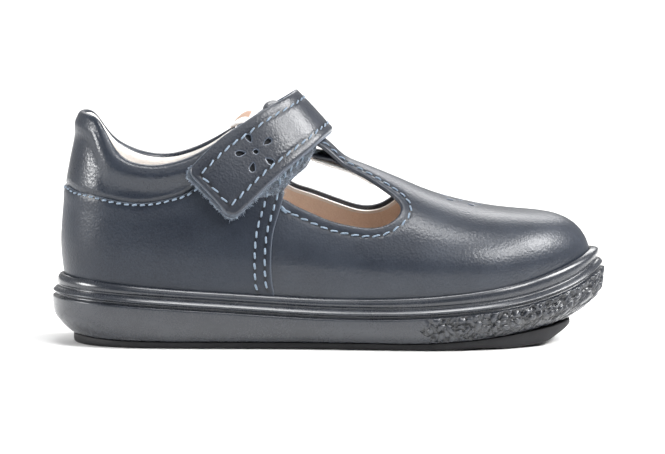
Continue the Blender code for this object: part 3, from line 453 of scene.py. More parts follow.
def seen(side, rows, off=0.0):
    """Flat-layout places of points of the leather, given as they are seen."""
    gu, gp = np.meshgrid(np.linspace(0, 1, 181), np.linspace(0, 1, 121), indexing="ij")
    base, nor = skin(np.full(gu.shape, side), gu, gp)
    q = base + nor * off
    gx, gv = q[..., 0], q[..., 2] * C6 + q[..., 1] * S6
    away = np.where(-nor[..., 1] * C6 + nor[..., 2] * S6 > -0.1, 0.0, 400.0)
    out = []
    for x, v in rows:
        k = ((gx - x) ** 2 + (gv - v) ** 2 + away).argmin()
        u, p = gu.flat[k], gp.flat[k]

        def miss(u, p):
            q = skin(side, u, p, off)[0]
            return np.array([q[0] - x, q[2] * C6 + q[1] * S6 - v])
        for _ in range(10):
            e = 1e-3
            m = np.column_stack([(miss(u + e, p) - miss(u - e, p)) / (2 * e),
                                 (miss(u, p + e) - miss(u, p - e)) / (2 * e)])
            step = np.clip(np.linalg.lstsq(m, miss(u, p), rcond=1e-3)[0], -0.02, 0.02)
            u, p = float(np.clip(u - step[0], 0, 1)), float(np.clip(p - step[1], 0, 1))
        out.append(chart(side, u, p))
    return np.array(out)


def leather(xy, off=0.0):
    return on_chart(xy, off)


# strap: a runs along it from the outer end, w across it from the front edge
_t = np.arange(len(STRAP), dtype=float)
_f = [cubic([(a,) + row for a, row in zip(_t, STRAP)], c + 1) for c in range(6)]
_k = np.linspace(0, len(STRAP) - 1, 500)
_mid = on_chart(np.column_stack([_f[0](_k) + _f[2](_k), _f[1](_k) + _f[3](_k)]) / 2,
                (_f[4](_k) + _f[5](_k)) / 2)[0]
_arc = np.concatenate([[0], np.cumsum(np.linalg.norm(np.diff(_mid, axis=0), axis=1))])
STRAP_LEN = float(_arc[-1])


def strap_at(aw, off=0.0):
    aw = np.asarray(aw, float).reshape(-1, 2)

    def flat(a, v):
        k = np.interp(a, _arc, _k)
        rear = np.column_stack([_f[0](k), _f[1](k)])
        fore = np.column_stack([_f[2](k), _f[3](k)])
        v = v[:, None]
        return rear * (1 - v) + fore * v, (_f[4](k) * (1 - v[:, 0]) + _f[5](k) * v[:, 0])
    v = 1 - aw[:, 1] / WIDTH
    xy, under = flat(aw[:, 0], v)
    before = np.minimum(aw[:, 0], 0.0) + np.maximum(aw[:, 0] - STRAP_LEN, 0.0)
    at0, _ = flat(np.where(aw[:, 0] < 1, 0.0, STRAP_LEN - 1.0), v)
    at1, _ = flat(np.where(aw[:, 0] < 1, 1.0, STRAP_LEN), v)
    xy = xy + (at1 - at0) * before[:, None]
    return on_chart(xy, under + off)


# ---------------------------------------------------------------------------
# Mesh helpers
# ---------------------------------------------------------------------------
MATS = {}


def mesh_object(name, verts, faces, mats, replaces=(), attrs=None, index=None,
                sharp=None, ride=True):
    mesh = bpy.data.meshes.new(name)
    verts = (np.asarray(verts, float) + CENTRE) * 0.001
    mesh.from_pydata(verts.tolist(), [], [tuple(int(i) for i in f) for f in faces])
    for key, values in (attrs or {}).items():
        at = mesh.attributes.new(key, "FLOAT", "POINT")
        at.data.foreach_set("value", np.asarray(values, np.float32))
    for m in mats:
        mesh.materials.append(MATS[m])
    if index is not None:
        mesh.polygons.foreach_set("material_index", np.asarray(index, np.int32))
    mesh.update()
    mesh.shade_smooth()
    if sharp:
        mesh.set_sharp_from_angle(angle=math.radians(sharp))
    obj = bpy.data.objects.new(name, mesh)
    bpy.context.scene.collection.objects.link(obj)
    if ride:
        if replaces:
            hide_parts(*replaces)
        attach(obj, "root")
    return obj


def away_from(points, line, closed=True, chunk=700):
    """Distance of points from a polyline, in as many dimensions as both have."""
    a = line
    b = np.roll(line, -1, axis=0) if closed else line[1:]
    a = a if closed else line[:-1]
    ab = b - a
    ll = (ab * ab).sum(1) + 1e-12
    out = np.empty(len(points))
    for k in range(0, len(points), chunk):
        p = points[k:k + chunk, None]
        t = np.clip(((p - a) * ab).sum(-1) / ll, 0, 1)
        d = p - a - ab * t[..., None]
        out[k:k + chunk] = np.sqrt((d * d).sum(-1).min(1))
    return out


def inside(points, loop):
    out = np.zeros(len(points), bool)
    a, b = loop, np.roll(loop, -1, axis=0)
    for k in range(0, len(points), 4000):
        x, y = points[k:k + 4000, 0][:, None], points[k:k + 4000, 1][:, None]
        cross = ((a[:, 1] > y) != (b[:, 1] > y))
        t = (y - a[:, 1]) / (b[:, 1] - a[:, 1] + 1e-12)
        out[k:k + 4000] = (cross & (x < a[:, 0] + t * (b[:, 0] - a[:, 0]))).sum(1) % 2 == 1
    return out


def true_len(surf, line, off=0.0):
    p = surf(line, off)[0]
    return np.concatenate([[0], np.cumsum(np.linalg.norm(np.diff(p, axis=0), axis=1))])


def even(surf, line, step, closed=False):
    """The same line with points a true distance apart."""
    if closed:
        line = np.vstack([line, line[:1]])
    s = true_len(surf, line)
    n = max(2, int(round(s[-1] / step)) + 1)
    w = np.linspace(0, s[-1], n)
    out = np.column_stack([np.interp(w, s, line[:, 0]), np.interp(w, s, line[:, 1])])
    return out[:-1] if closed else out


def shifted(surf, line, dist, closed=False):
    """Line moved to its left by a true distance over the surface."""
    line = np.asarray(line, float)
    p, n = surf(line, 0.0)
    if closed:
        t = np.roll(p, -1, axis=0) - np.roll(p, 1, axis=0)
    else:
        t = np.gradient(p, axis=0)
    t /= np.linalg.norm(t, axis=1)[:, None] + 1e-12
    left = np.cross(n, t)
    e = 0.06
    da = (surf(line + (e, 0), 0)[0] - surf(line - (e, 0), 0)[0]) / (2 * e)
    db = (surf(line + (0, e), 0)[0] - surf(line - (0, e), 0)[0]) / (2 * e)
    j = np.stack([da, db], 2)
    jt = np.transpose(j, (0, 2, 1))
    move = np.linalg.solve(jt @ j + np.eye(2) * 1e-6, (jt @ left[:, :, None]))[:, :, 0]
    return line + move * np.broadcast_to(np.asarray(dist, float), (len(line),))[:, None]


def counter_clockwise(loop):
    a, b = loop, np.roll(loop, -1, axis=0)
    return loop if (a[:, 0] * b[:, 1] - b[:, 0] * a[:, 1]).sum() > 0 else loop[::-1]


def area_of(loop):
    a, b = loop, np.roll(loop, -1, axis=0)
    return abs((a[:, 0] * b[:, 1] - b[:, 0] * a[:, 1]).sum()) / 2


def panel(name, surf, loop, top, thick, mats, holes=(), seams=(), step=1.1,
          round_r=0.5, edge_step=0.8, groove=0.16, replaces=(), relief=None, index=None,
          soft=True, bands=(), around=(0.22,)):
    """A piece of sheet with rounded edges on a surface. `top` gives the height
    of its upper face; `seams` are stitch lines, which press into it."""
    loop = even(surf, counter_clockwise(np.asarray(loop)), edge_step, True)
    holes = [counter_clockwise(np.asarray(h)) for h in holes]
    pts, edges = [], []

    def add(line, closed=True):
        start = sum(len(p) for p in pts)
        pts.append(line)
        n = len(line)
        edges.extend((start + i, start + (i + 1) % n) for i in range(n if closed else n - 1))
    add(loop)
    for h in holes:
        add(h)
    near = [loop] + list(holes)
    for line in bands:
        add(line)
        near.append(line)
    if soft:
        for d in (0.14, 0.4, 0.85):
            ring = shifted(surf, loop, d * round_r / 0.5, True)
            add(ring)
            if d > 0.8:
                near.append(ring)
    for h in holes:
        out = h - h.mean(0)
        out /= np.linalg.norm(out, axis=1)[:, None]
        for d in around:
            near.append(h + out * d if len(h) < 40 else shifted(surf, h, -d, True))
            add(near[-1])
    rows = []
    for line in seams:
        line = even(surf, np.asarray(line), 0.9)
        rows.append(line)
        for d in (-0.6, 0.0, 0.6):
            row = shifted(surf, line, d)
            add(row, False)
            near.append(row)
    lo, hi = loop.min(0) - step, loop.max(0) + step
    gx, gy = np.meshgrid(np.arange(lo[0], hi[0], step), np.arange(lo[1], hi[1], step * 0.87))
    gx = gx + (np.arange(gx.shape[0]) % 2)[:, None] * step * 0.5
    grid = np.column_stack([gx.ravel(), gy.ravel()])
    grid = grid + np.random.default_rng(len(grid)).uniform(-0.07, 0.07, grid.shape) * step
    grid = grid[inside(grid, loop)]
    for h in holes:
        grid = grid[~inside(grid, h)]
    for line in near:
        d = away_from(grid, line, closed=False)
        grid = grid[d > 0.55 * step]
    every = np.vstack(pts + [grid])
    want = area_of(loop) - sum(area_of(h) for h in holes)
    best = None
    # a sheet whose triangles leave a gap is cut again in a turned plane
    for turn in (0.0, 0.31, 0.77, 1.13, 1.39, 0.52):
        ca, sa = math.cos(turn), math.sin(turn)
        spun = every @ np.array(((ca, sa), (-sa, ca)))
        res = geometry.delaunay_2d_cdt([Vector(p) for p in spun], edges, [], 0, 1e-6)
        flat = np.array([tuple(v) for v in res[0]]) @ np.array(((ca, -sa), (sa, ca)))
        tri = np.array(res[2])
        mid = flat[tri].mean(1)
        ok = inside(mid, loop)
        for h in holes:
            ok &= ~inside(mid, h)
        tri = tri[ok]
        q = flat[tri]
        e1, e2 = q[:, 1] - q[:, 0], q[:, 2] - q[:, 0]
        miss = abs(0.5 * np.abs(e1[:, 0] * e2[:, 1] - e1[:, 1] * e2[:, 0]).sum() - want)
        if best is None or miss < best[0]:
            best = (miss, flat, tri)
        if miss < 0.05:
            break
    print("panel", name, "area gap %.3f mm2" % best[0], "turn", turn)
    flat, tri = best[1], best[2]
    used, tri = np.unique(tri, return_inverse=True)
    tri = tri.reshape(-1, 3)
    flat = flat[used]
    base, nrm = surf(flat, 0.0)
    rim3 = surf(loop, 0.0)[0]
    d_edge = away_from(base, rim3)
    h_top = top(flat, base) if callable(top) else np.full(len(flat), float(top))
    if relief is not None:
        h_top = h_top + relief(flat, base)
    x = np.clip(1 - d_edge / round_r, 0, 1)
    drop = round_r * (1 - np.sqrt(1 - x * x)) if soft else 0 * x
    # Weight of the stitch grooves: it presses them into the face, and the leather's colour reads it as painted shade
    # along the stitch rows.
    seam_groove_shade = np.zeros(len(flat))
    for line in rows:
        d = away_from(base, surf(line, 0.0)[0], closed=False)
        seam_groove_shade = np.maximum(seam_groove_shade, np.exp(-(d / 0.42) ** 2))
    rim = np.zeros(len(flat))
    for h in holes:
        d = away_from(base, surf(h, 0.0)[0])
        rim = np.maximum(rim, np.clip(1 - d / 0.3, 0, 1))
        drop = drop + 0.12 * np.clip(1 - d / 0.22, 0, 1)
    h_top = h_top - drop - groove * seam_groove_shade
    th = thick(flat, base) if callable(thick) else float(thick)
    h_low = (top(flat, base) if callable(top) else np.full(len(flat), float(top))) - th
    a = surf(flat, h_top)[0]
    b = surf(flat, np.minimum(h_low, h_top - 0.05))[0]
    n = len(flat)
    verts = np.vstack([a, b])
    count = {}
    for t in tri:
        for i in range(3):
            e = (t[i], t[(i + 1) % 3])
            count[e] = count.get(e, 0) + 1
    border = [e for e in count if (e[1], e[0]) not in count]
    # faces of the upper side look outwards
    p = a[tri]
    out = np.cross(p[:, 1] - p[:, 0], p[:, 2] - p[:, 0])
    up = (out * nrm[tri[:, 0]]).sum(1).sum() > 0
    faces = [tuple(t) if up else tuple(t[::-1]) for t in tri]
    faces += [tuple(t[::-1] + n) if up else tuple(t + n) for t in tri]
    faces += [(e[1], e[0], e[0] + n, e[1] + n) if up else (e[0], e[1], e[1] + n, e[0] + n)
              for e in border]
    two = np.concatenate
    attrs = {"seam_groove_shade": two([seam_groove_shade, 0 * seam_groove_shade]), "rim": two([rim, 0 * rim]),
             "edge": two([np.clip(1 - d_edge / 1.2, 0, 1), np.ones(n)])}
    idx = None
    if index is not None:
        own = index(flat[tri].mean(1))
        side_kind = index(np.array([flat[list(e)].mean(0) for e in border]))
        idx = two([own, own, side_kind])
    return mesh_object(name, verts, faces, mats, replaces, attrs, idx, sharp=48)


def lumps(seed, waves, size, amount):
    """Gentle unevenness of a surface from a few seeded waves."""
    rng = np.random.default_rng(seed)
    k = rng.normal(size=(waves, 3))
    k *= (2 * math.pi / (size * rng.uniform(0.7, 1.6, waves)) / np.linalg.norm(k, axis=1))[:, None]
    ph = rng.uniform(0, 2 * math.pi, waves)

    def f(flat, base):
        return amount * np.sin(base @ k.T + ph).sum(1) / math.sqrt(waves)
    return f


# ---------------------------------------------------------------------------
# Thread
# ---------------------------------------------------------------------------
THREAD = []


def stitch_line(surf, line, height, pitch=2.95, length=2.4, radius=0.29, slant=8.0,
                start=0.5, skip=None):
    """Row of machine stitches along a line; `height` is that of the face."""
    line = np.asarray(line, float)
    h = height(line, surf(line, 0.0)[0]) if callable(height) else np.full(len(line), float(height))
    p, n = surf(line, h)
    s = np.concatenate([[0], np.cumsum(np.linalg.norm(np.diff(p, axis=0), axis=1))])
    count = int(s[-1] / pitch)
    if count < 1:
        return
    pitch = s[-1] / count
    at = (np.arange(count) + start) * pitch
    at = at[at < s[-1] - 0.3 * pitch]

    def read(q, t):
        return np.column_stack([np.interp(t, s, q[:, c]) for c in range(3)])
    c, nn = read(p, at), read(n, at)
    t = read(p, at + 0.5) - read(p, at - 0.5)
    rng = np.random.default_rng(int(abs(p[0, 0] * 91 + p[0, 2] * 37)) + count)
    for i in range(len(at)):
        THREAD.append((c[i], t[i], nn[i], length * rng.uniform(0.94, 1.04), radius,
                       slant + rng.normal() * 2.0))


def bar_tack(centre, along, normal, length, wide, turns):
    """A short block of close stitches across a strain point."""
    t = along / np.linalg.norm(along)
    b = np.cross(normal, t)
    for k in range(turns):
        w = (k / (turns - 1) - 0.5) * length
        THREAD.append((centre + t * w, b, normal, wide, 0.24, 10.0 if k % 2 else -10.0))


def make_thread(name):
    rings, round_n = 9, 8
    w = np.linspace(-1, 1, rings)
    ang = np.linspace(0, 2 * math.pi, round_n, endpoint=False)
    verts, faces, twist = [], [], []
    for c, t, n, length, r, slant in THREAD:
        n = n / np.linalg.norm(n)
        t = t - n * (t @ n)
        t /= np.linalg.norm(t)
        b = np.cross(n, t)
        a = math.radians(slant)
        d = t * math.cos(a) + b * math.sin(a)
        side = np.cross(n, d)
        start = len(verts)
        rad = r * np.clip(1 - np.abs(w) ** 5, 0.05, 1) ** 0.5
        lift = 0.10 - 0.42 * np.abs(w) ** 3.2
        for k in range(rings):
            q = c + d * (w[k] * length / 2) + n * lift[k]
            for m in range(round_n):
                verts.append(q + side * rad[k] * 1.08 * math.cos(ang[m]) + n * rad[k] * 0.86 * math.sin(ang[m]))
                twist.append(w[k] * length * 2.1 + ang[m] / math.pi)
        for k in range(rings - 1):
            for m in range(round_n):
                m2 = (m + 1) % round_n
                i = start + k * round_n
                faces.append((i + m, i + m2, i + m2 + round_n, i + m + round_n))
        faces.append(tuple(start + m for m in range(round_n))[::-1])
        faces.append(tuple(start + (rings - 1) * round_n + m for m in range(round_n)))
    return mesh_object(name, verts, faces, ["thread"],
                       attrs={"twist": np.array(twist)})


def fuzz(name, roots, dirs, length, radius, mats, seed, curl=0.5):
    """Short bent fibres."""
    rng = np.random.default_rng(seed)
    verts, faces = [], []
    for p, d in zip(roots, dirs):
        d = d / np.linalg.norm(d)
        a = np.cross(d, rng.normal(size=3))
        a /= np.linalg.norm(a)
        b = np.cross(d, a)
        l = length * rng.uniform(0.5, 1.25)
        r = radius * rng.uniform(0.7, 1.25)
        bend = rng.normal(size=3) * curl
        start = len(verts)
        for k, rr in ((0.0, 1.0), (0.4, 0.95), (0.75, 0.8), (1.0, 0.3)):
            q = p + d * l * k + bend * l * k * k
            for m in range(3):
                ang = 2 * math.pi * m / 3
                verts.append(q + (a * math.cos(ang) + b * math.sin(ang)) * r * rr)
        for k in range(3):
            for m in range(3):
                i, m2 = start + k * 3, (m + 1) % 3
                faces.append((i + m, i + m2, i + m2 + 3, i + m + 3))
        faces.append((start, start + 2, start + 1))
        faces.append((start + 9, start + 10, start + 11))
    return mesh_object(name, verts, faces, mats)


# ---------------------------------------------------------------------------
# Materials
# ---------------------------------------------------------------------------
class Nodes:
    """Short hand for one material's node tree, with coordinates in mm."""

    def __init__(self, name, colour=(0.5, 0.5, 0.5), rough=0.5, **sockets):
        self.mat = bpy.data.materials.new(name)
        self.mat.use_nodes = True
        self.tree = self.mat.node_tree
        self.shader = self.tree.nodes["Principled BSDF"]
        self.set("Base Color", (*colour, 1.0))
        self.set("Roughness", rough)
        for key, value in sockets.items():
            self.set(key.replace("_", " "), value)
        co = self.new("ShaderNodeTexCoord")
        big = self.new("ShaderNodeVectorMath", operation="SCALE")
        self.link(co.outputs["Object"], big.inputs[0])
        big.inputs["Scale"].default_value = 1000.0
        self.mm = big.outputs[0]
        self.mat.diffuse_color = (*colour, 1.0)

    def new(self, kind, **props):
        node = self.tree.nodes.new(kind)
        for key, value in props.items():
            setattr(node, key, value)
        return node

    def link(self, a, b):
        self.tree.links.new(a, b)

    def set(self, key, value):
        self.shader.inputs[key].default_value = value

    def put(self, key, out):
        self.link(out, self.shader.inputs[key])

    def stretched(self, scale):
        m = self.new("ShaderNodeMapping")
        m.inputs["Scale"].default_value = scale
        self.link(self.mm, m.inputs["Vector"])
        return m.outputs[0]

    def noise(self, scale, detail=2.0, rough=0.5, at=None, distort=0.0):
        n = self.new("ShaderNodeTexNoise")
        n.inputs["Scale"].default_value = scale
        n.inputs["Detail"].default_value = detail
        n.inputs["Roughness"].default_value = rough
        n.inputs["Distortion"].default_value = distort
        self.link(at or self.mm, n.inputs["Vector"])
        return n.outputs["Fac"]

    def cells(self, scale, feature="F1", at=None, smooth=None):
        n = self.new("ShaderNodeTexVoronoi", feature=feature)
        n.inputs["Scale"].default_value = scale
        if smooth is not None:
            n.inputs["Smoothness"].default_value = smooth
        self.link(at or self.mm, n.inputs["Vector"])
        return n.outputs["Distance"]

    def wave(self, scale, at=None, distort=0.0, direction="X"):
        n = self.new("ShaderNodeTexWave", bands_direction=direction)
        n.inputs["Scale"].default_value = scale
        n.inputs["Distortion"].default_value = distort
        self.link(at or self.mm, n.inputs["Vector"])
        return n.outputs["Fac"]

    def math(self, op, a, b=0.0, c=None):
        n = self.new("ShaderNodeMath", operation=op)
        for i, v in enumerate((a, b) if c is None else (a, b, c)):
            if isinstance(v, (int, float)):
                n.inputs[i].default_value = v
            else:
                self.link(v, n.inputs[i])
        return n.outputs[0]

    def attr(self, name):
        return self.new("ShaderNodeAttribute", attribute_name=name).outputs["Fac"]

    def span(self, value, lo, hi, a=0.0, b=1.0):
        n = self.new("ShaderNodeMapRange")
        self.link(value, n.inputs[0])
        for i, v in enumerate((lo, hi, a, b)):
            n.inputs[i + 1].default_value = v
        return n.outputs[0]

    def mix(self, fac, a, b):
        n = self.new("ShaderNodeMix", data_type="RGBA")
        for sock, v in ((n.inputs[0], fac), (n.inputs[6], a), (n.inputs[7], b)):
            if isinstance(v, (int, float)):
                sock.default_value = v
            elif isinstance(v, tuple):
                sock.default_value = (*v, 1.0)
            else:
                self.link(v, sock)
        return n.outputs[2]

    def bump(self, height, depth, strength=1.0, under=None):
        n = self.new("ShaderNodeBump")
        n.inputs["Strength"].default_value = strength
        n.inputs["Distance"].default_value = depth * 0.001
        self.link(height, n.inputs["Height"])
        if under is not None:
            self.link(under, n.inputs["Normal"])
        return n.outputs[0]

    def done(self, key):
        MATS[key] = self.mat


def make_leather(key, dark, light, rough=0.42, coat=0.22, grain=1.0, edge=0.0, crease=0.0, spec=0.4):
    m = Nodes(key, dark, rough, Coat_Weight=coat, Coat_Roughness=0.36, Specular_IOR_Level=spec,
              Sheen_Weight=0.0)
    patch = m.noise(0.055, 3.0, 0.55)
    fine = m.noise(1.1, 3.0, 0.6)
    grit = m.noise(2.7, 1.0, 0.5)
    tone = m.math("ADD", m.span(patch, 0.32, 0.68, 0.0, 0.55), m.span(grit, 0.32, 0.68, 0.0, 0.45))
    colour = m.mix(tone, dark, light)
    # Painted shade: the colour darkens along the stitch grooves, where shade falls between the stitches.
    seam_groove_shade = m.attr("seam_groove_shade")
    colour = m.mix(m.math("MULTIPLY", seam_groove_shade, 0.9), colour, tuple(c * 0.25 for c in dark))
    rim = m.math("POWER", m.attr("rim"), 1.6)
    colour = m.mix(m.math("MULTIPLY", rim, 0.75), colour, (0.17, 0.21, 0.28))
    if edge:
        e = m.math("POWER", m.attr("edge"), 7.0)
        colour = m.mix(m.math("MULTIPLY", e, edge), colour, (0.20, 0.235, 0.29))
    m.put("Base Color", colour)
    pores = m.cells(1.05 * grain, "SMOOTH_F1", smooth=0.6)
    folds = m.noise(0.75 * grain, 2.0, 0.5, at=m.stretched((1.0, 1.0, 0.7)))
    micro = m.noise(3.0 * grain, 2.0, 0.5)
    h = m.math("ADD", m.math("MULTIPLY", pores, 0.9), m.math("MULTIPLY", micro, 0.12))
    h = m.math("ADD", h, m.math("MULTIPLY", folds, 0.9))
    if crease:
        lines = m.noise(0.62, 3.0, 0.55, at=m.stretched((1.5, 1.0, 0.24)), distort=0.6)
        where = m.span(m.noise(0.045, 2.0), 0.42, 0.62)
        h = m.math("ADD", h, m.math("MULTIPLY", m.math("MULTIPLY", lines, where), crease))
    normal = m.bump(h, 0.055)
    m.put("Normal", normal)
    m.link(normal, m.shader.inputs["Coat Normal"])
    m.put("Roughness", m.span(m.math("ADD", fine, patch), 0.7, 1.3, rough - 0.05, rough + 0.07))
    m.done(key)


def make_lining(key, a, b, rough=0.85, depth=0.06, sheen=0.25):
    m = Nodes(key, a, rough, Sheen_Weight=sheen, Sheen_Roughness=0.5)
    nap = m.noise(2.4, 4.0, 0.65)
    m.put("Base Color", m.mix(m.span(m.math("ADD", nap, m.noise(0.12, 2.0)), 0.75, 1.25), a, b))
    m.put("Normal", m.bump(m.math("ADD", nap, m.cells(1.3, "SMOOTH_F1", smooth=0.8)), depth))
    m.done(key)


def make_rubber(key, a, b, rough, depth, coat=0.0):
    m = Nodes(key, a, rough, Coat_Weight=coat, Coat_Roughness=0.25, Specular_IOR_Level=0.4)
    broad = m.noise(0.09, 3.0)
    fine = m.noise(3.2, 3.0, 0.6)
    colour = m.mix(m.span(m.math("ADD", broad, fine), 0.8, 1.2), a, b)
    # Painted shade: the rubber darkens in the grooves between the toe's moulded chips, where shade falls.
    if key == "rubber":
        colour = m.mix(m.math("MULTIPLY", m.attr("pit_shade"), 1.0), colour, tuple(c * 0.2 for c in a))
    m.put("Base Color", colour)
    m.put("Roughness", m.span(m.math("ADD", broad, fine), 0.75, 1.25, rough - 0.06, rough + 0.08))
    m.put("Normal", m.bump(m.math("ADD", m.math("MULTIPLY", fine, 0.5), m.noise(0.55, 3.0)), depth))
    m.done(key)


def make_fabric(key, a, b, rough=0.9, weave=3.0):
    m = Nodes(key, a, rough, Sheen_Weight=0.5, Sheen_Roughness=0.4)
    w1, w2 = m.wave(weave, direction="X", distort=1.5), m.wave(weave, direction="Z", distort=1.5)
    h = m.math("MULTIPLY", w1, w2)
    m.put("Base Color", m.mix(m.span(m.math("ADD", h, m.noise(1.4, 2.0)), 0.3, 1.2), a, b))
    m.put("Normal", m.bump(h, 0.12))
    m.done(key)


def make_thread_look(key, a, b):
    m = Nodes(key, a, 0.5, Sheen_Weight=0.3, Sheen_Roughness=0.35)
    ply = m.math("SINE", m.math("MULTIPLY", m.attr("twist"), 6.2832))
    fib = m.noise(9.0, 2.0)
    m.put("Base Color", m.mix(m.span(m.math("ADD", ply, fib), -0.6, 1.4), a, b))
    m.put("Normal", m.bump(ply, 0.05))
    m.done(key)


def make_fibre(key, a, b):
    m = Nodes(key, a, 0.7, Sheen_Weight=0.3)
    m.put("Base Color", m.mix(m.span(m.noise(0.9, 2.0), 0.35, 0.65), a, b))
    m.done(key)


NAVY, NAVY2 = (0.0105, 0.014, 0.0225), (0.027, 0.034, 0.048)
make_leather("vamp", NAVY, NAVY2, rough=0.34, coat=0.35, grain=1.35, crease=0.9)
make_leather("quarter", NAVY, NAVY2, rough=0.36, coat=0.15, grain=1.35, edge=0.55, spec=0.3)
make_leather("collar", NAVY, NAVY2, rough=0.31, coat=0.3, grain=1.35)
make_leather("strap", (0.015, 0.018, 0.026), (0.027, 0.032, 0.043), rough=0.29, coat=0.4, grain=1.5, edge=0.6, spec=0.36)
make_leather("strap_base", (0.010, 0.012, 0.016), (0.016, 0.018, 0.024), rough=0.6, coat=0.0, edge=0.9)
make_lining("lining", (0.86, 0.84, 0.81), (0.95, 0.94, 0.92))
# A greyer copy of the white lining for the inner tab's pad: painted shade.
make_lining("tab_lining_painted_shade", (0.56, 0.555, 0.55), (0.74, 0.735, 0.73))
make_lining("tan", (0.83, 0.67, 0.565), (0.90, 0.76, 0.66), rough=0.78)
make_lining("sock", (0.70, 0.52, 0.40), (0.78, 0.61, 0.49), rough=0.7, depth=0.05)
make_lining("tan_edge", (0.31, 0.19, 0.13), (0.40, 0.26, 0.19), rough=0.8)
make_rubber("rubber", (0.020, 0.023, 0.030), (0.031, 0.035, 0.044), 0.26, 0.018, coat=0.6)
make_rubber("tread", (0.008, 0.008, 0.010), (0.014, 0.014, 0.016), 0.62, 0.08)
make_fabric("tape", (0.045, 0.057, 0.078), (0.15, 0.185, 0.235))
make_fibre("fibre", (0.15, 0.19, 0.26), (0.42, 0.50, 0.60))
make_fibre("fibre_dark", (0.03, 0.04, 0.06), (0.42, 0.50, 0.60))
make_thread_look("thread", (0.135, 0.185, 0.26), (0.29, 0.38, 0.48))

# ---------------------------------------------------------------------------
# Lines on the upper
# ---------------------------------------------------------------------------


def foot_line(side, u0, u1, up=2.2, step=1.2):
    n = max(2, int(abs(u1 - u0) * SIDE_LEN[side] / step))
    u = np.linspace(u0, u1, n)
    x = along_u(WIDE, np.full(n, side), u)[:, 0]
    return chart(np.full(n, side), u, rise(side, u, floor_z(x) + up))


def down_to_sole(line, side, x_end):
    u = float(np.interp(x_end, WIDE[side, :, 0], U))
    x = along_u(WIDE, side, u)[0]
    z = floor_z(x) + 2.2
    end = chart(side, u, rise(side, u, float(z)))
    return np.vstack([line, (line[-1] + end) / 2, end]), u


# front edge of the quarters, from the cut-out's rear corner to the sole
top_corner = np.array([(-12.1, -29.0)])
lap_out = np.vstack([top_corner, seen(LAT, LAP_SEEN[1:])])
lap_out, u_out = down_to_sole(lap_out, LAT, -15.2)
lap_out = smooth_curve(lap_out, 0.8)
c0 = np.array([(-12.4, 23.6)])
q0 = on_chart(c0)[0][0]
zs = np.linspace(q0[2], 18.0, 6)[1:]
xs = q0[0] + (-15.8 - q0[0]) * smooth01((q0[2] - zs) / 16.0)
lap_in = np.vstack([c0, find_side(MED, xs, zs)])
lap_in, u_in = down_to_sole(lap_in, MED, -15.4)
lap_in = smooth_curve(lap_in, 0.8)

# seam below the padded collar, from the heel to the tabs
start = chart(LAT, 0.0, rise(LAT, 0.0, 44.4))
seam_out = np.vstack([start, seen(LAT, SEAM_SEEN[1:]), (-25.2, -16.2)])
seam_out = smooth_curve(seam_out, 0.8)
_s, _u, _p = unchart(seam_out)
_z = skin(_s, _u, _p)[0][:, 2]
_last = float(np.interp(-26.4, WIDE[MED, :, 0], U))
_um = _u * (_last / _u[-1])
seam_in = chart(np.full(len(_um), MED), _um, rise(MED, _um, _z))
_w = smooth01((np.arange(len(_um)) / len(_um) - 0.6) / 0.4)[:, None]
seam_in = seam_in + (np.array((-25.2, 16.0)) - seam_in[-1]) * _w


def crest_p(side, u):
    x = along_u(WIDE, np.full(len(u), side), u)[:, 0]
    return rise(side, u, collar_z[side](x))


def collar_line(side):
    last = float(np.interp(-26.4, WIDE[side, :, 0], U))
    u = np.linspace(0, last, 70)
    return chart(np.full(len(u), side), u, crest_p(side, u))


bar_out = [(0.0, -7.6), (-3.0, -7.3), (-6.0, -7.3), (-9.6, -7.3)]
bar_in = [(-9.6, 6.3), (-6.0, 6.3), (-3.0, 6.3), (0.0, 6.6)]
cut_out = smooth_curve(list(OUTER_CUT) + bar_out, 0.7)
cut_in = smooth_curve(bar_in + list(INNER_CUT), 0.7)
tab_out, tab_in = smooth_curve(OUTER_TAB, 0.7), smooth_curve(INNER_TAB, 0.7)


def behind(line, dist, side):
    """The hidden rear edge of the vamp, under the quarter."""
    sign = -1.0 if side == LAT else 1.0
    return shifted(leather, line, sign * dist)


rear_out = behind(lap_out, 8.0, LAT)
rear_in = behind(lap_in, 8.0, MED)
_, _uo, _ = unchart(rear_out[-1:])
_, _ui, _ = unchart(rear_in[-1:])
vamp_loop = np.vstack([
    foot_line(LAT, float(_uo[0]), 1.0), foot_line(MED, 1.0, float(_ui[0]))[1:],
    rear_in[::-1][1:], cut_in[::-1][1:], [(-9.6, 3.0), (-9.6, -4.0)],
    cut_out[::-1][:-1], rear_out[1:-1]])
quarter_loop = np.vstack([
    foot_line(MED, u_in, 0.0)[:-1], foot_line(LAT, 0.0, u_out)[:-1],
    lap_out[::-1], tab_out[::-1], seam_out[::-1][1:], seam_in[1:],
    tab_in[::-1][1:], lap_in[:-1]])


def bar_mask(flat):
    return (np.abs(flat[:, 1] + 0.5) < 10.5) & (flat[:, 0] < 16.0)


def vamp_top(flat, base):
    h = cubic(BAR_TOP, 1)(flat[:, 0])
    return np.where(bar_mask(flat), h, 0.0)


vamp_3d = on_chart(vamp_loop)[0]
seam_3d = np.vstack([on_chart(seam_out[::-1])[0], on_chart(seam_in[1:])[0]])


def quarter_top(flat, base):
    under = inside(flat, vamp_loop)
    d = np.where(under, 0.0, away_from(base, vamp_3d))
    z0 = crest_z(base[:, 0])
    low = 0.3 + 0.7 * smooth01((base[:, 2] - z0) / 3.0)
    lap = smooth01(1 - d / 6.0) * low
    ds = away_from(base, seam_3d, closed=False)
    up = smooth01(1 - ds / 6.0) * smooth01((-27.0 - base[:, 0]) / 6.0)
    return 0.12 + 0.72 * np.maximum(lap, 0.42 * up)


def quarter_thick(flat, base):
    return np.where(quarter_top(flat, base) > 0.45, 0.78, 0.86)


def flat_on(line, surf_top):
    return lambda flat, base: surf_top(flat, base)


# ---------------------------------------------------------------------------
# Stitch lines
# ---------------------------------------------------------------------------
def taper(line, a, b, power=1.0):
    t = np.linspace(0, 1, len(line)) ** power
    return a + (b - a) * t


